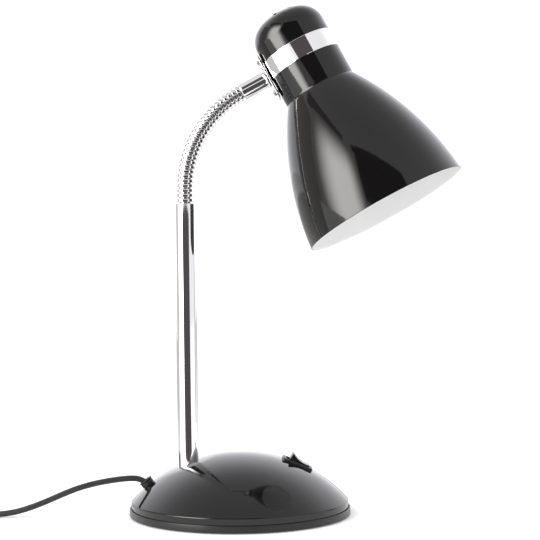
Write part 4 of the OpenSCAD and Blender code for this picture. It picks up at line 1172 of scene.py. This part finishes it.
def glow_card(name, start, end, low, high, colour):
    """A lit card that only the lamp's skins mirror.

    It stands between two turns from the camera's side (right +), and between two edges, each
    given by its distance from the lamp and its height.
    """
    corners = [(away * sin(radians(a)), -away * cos(radians(a)), z)
               for a, (away, z) in ((start, low), (end, low), (end, high), (start, high))]
    made = backdrop(name, corners, Base_Color=(0, 0, 0, 1), Specular_IOR_Level=0,
                    Emission_Color=(*colour, 1), Emission_Strength=1)
    made[0].visible_camera = made[0].visible_diffuse = made[0].visible_shadow = False
    return made


for row in (
        ("dark_room", -33, 26, (2.6, 0.8), (2.6, 2.6), DARK),
        ("dark_room_low", -30, 39, (2.55, -0.2), (2.55, 0.42), DARK),
        ("grey_wall", -122, -88, (2.6, -0.2), (2.6, 1.9), (0.62, 0.58, 0.55)),
        ("grey_wall_high", -95, -42, (2.6, 2.1), (2.6, 2.75), (0.27, 0.245, 0.24)),
        ("dark_edge", 101, 113, (0.55, 0), (0.55, 0.3), (0.3, 0.29, 0.31)),
        ("table_edge", -30, 39, (0.33, ON_FLOOR), (2.6, ON_FLOOR), DARK)):
    glow_card(*row)

# %% Cards that fade out at their edges
for name, start, end, low, high, colour, left, right, top in (
        ("floor_left", -205, -92, (0.13, ON_FLOOR), (4.2, ON_FLOOR), (0.6, 0.59, 0.575),
         0.2, 0.2, 0.2),
        ("floor_right", 113, 180, (0.2, ON_FLOOR), (4.2, ON_FLOOR), (0.62, 0.61, 0.63),
         0.12, 0.12, 0.2),
        ("soft_light", -86, -30, (2.4, -0.15), (2.4, 2.15), (1.0, 0.985, 0.95),
         0.5, 0.28, 0.5)):
    card, t, n = glow_card(name, start, end, low, high, colour)
    for loop, uv in zip(card.data.uv_layers.new(name="spread").data,
                        ((0, 0), (1, 0), (1, 1), (0, 1))):
        loop.uv = uv
    n.update(nodes_in(t, {
        "at": "TexCoord", "xy": "SeparateXYZ", "left": ramp(0, left),
        "right": ramp(1, 1 - right), "top": ramp(1, 1 - top), "sides": maths("MULTIPLY"),
        "all": maths("MULTIPLY"), "glow": maths("MULTIPLY_ADD", in_1=9.5, in_2=0.8)}))
    wire(t, n, """
        at.UV > xy.Vector; xy.X > left.Value; xy.X > right.Value; xy.Y > top.Value;
        left.Result > sides.0; right.Result > sides.1; sides.0 > all.0; top.Result > all.1;
        """ + ("all.0 > glow.0; glow.0 > skin.Emission Strength" if name == "soft_light"
               else "all.0 > skin.Alpha"))

# %% World and lamp
world = bpy.data.worlds.new("white_room")
bpy.context.scene.world = world
world.use_nodes = True
wt = world.node_tree
n = nodes_in(wt, {"ray": "LightPath", "aim": "TexCoord",
                  "xyz": "SeparateXYZ", "climb": ramp(0.5, 1.0),
                  "behind": ramp(-0.1, 0.75)})
wire(wt, n, "aim.Generated > xyz.Vector; xyz.Z > climb.Value; xyz.Y > behind.Value")
walls = blended(wt, (0.88, 0.88, 0.885), (1.5, 1.5, 1.57), n["behind"].outputs["Result"])
mirrored = blended(wt, walls, (0.72, 0.705, 0.72), n["climb"].outputs["Result"])
seen_room = blended(wt, (1.0, 1.0, 1.0), mirrored, n["ray"].outputs["Is Glossy Ray"])
room = wt.nodes["Background"]
room.inputs["Strength"].default_value = ROOM_GLOW
wt.links.new(seen_room, room.inputs["Color"])
key_data = bpy.data.lights.new("key", "AREA")
key_data.energy, key_data.size, key_data.color = KEY_WATTS, 1.2, (1.0, 0.985, 0.96)
key = added("key", key_data)
key.location = (-1.5, -1.6, 2.0)
key.rotation_euler = (Vector((0, 0, 0.15)) - key.location).to_track_quat("-Z", "Y").to_euler()
key.visible_glossy = False
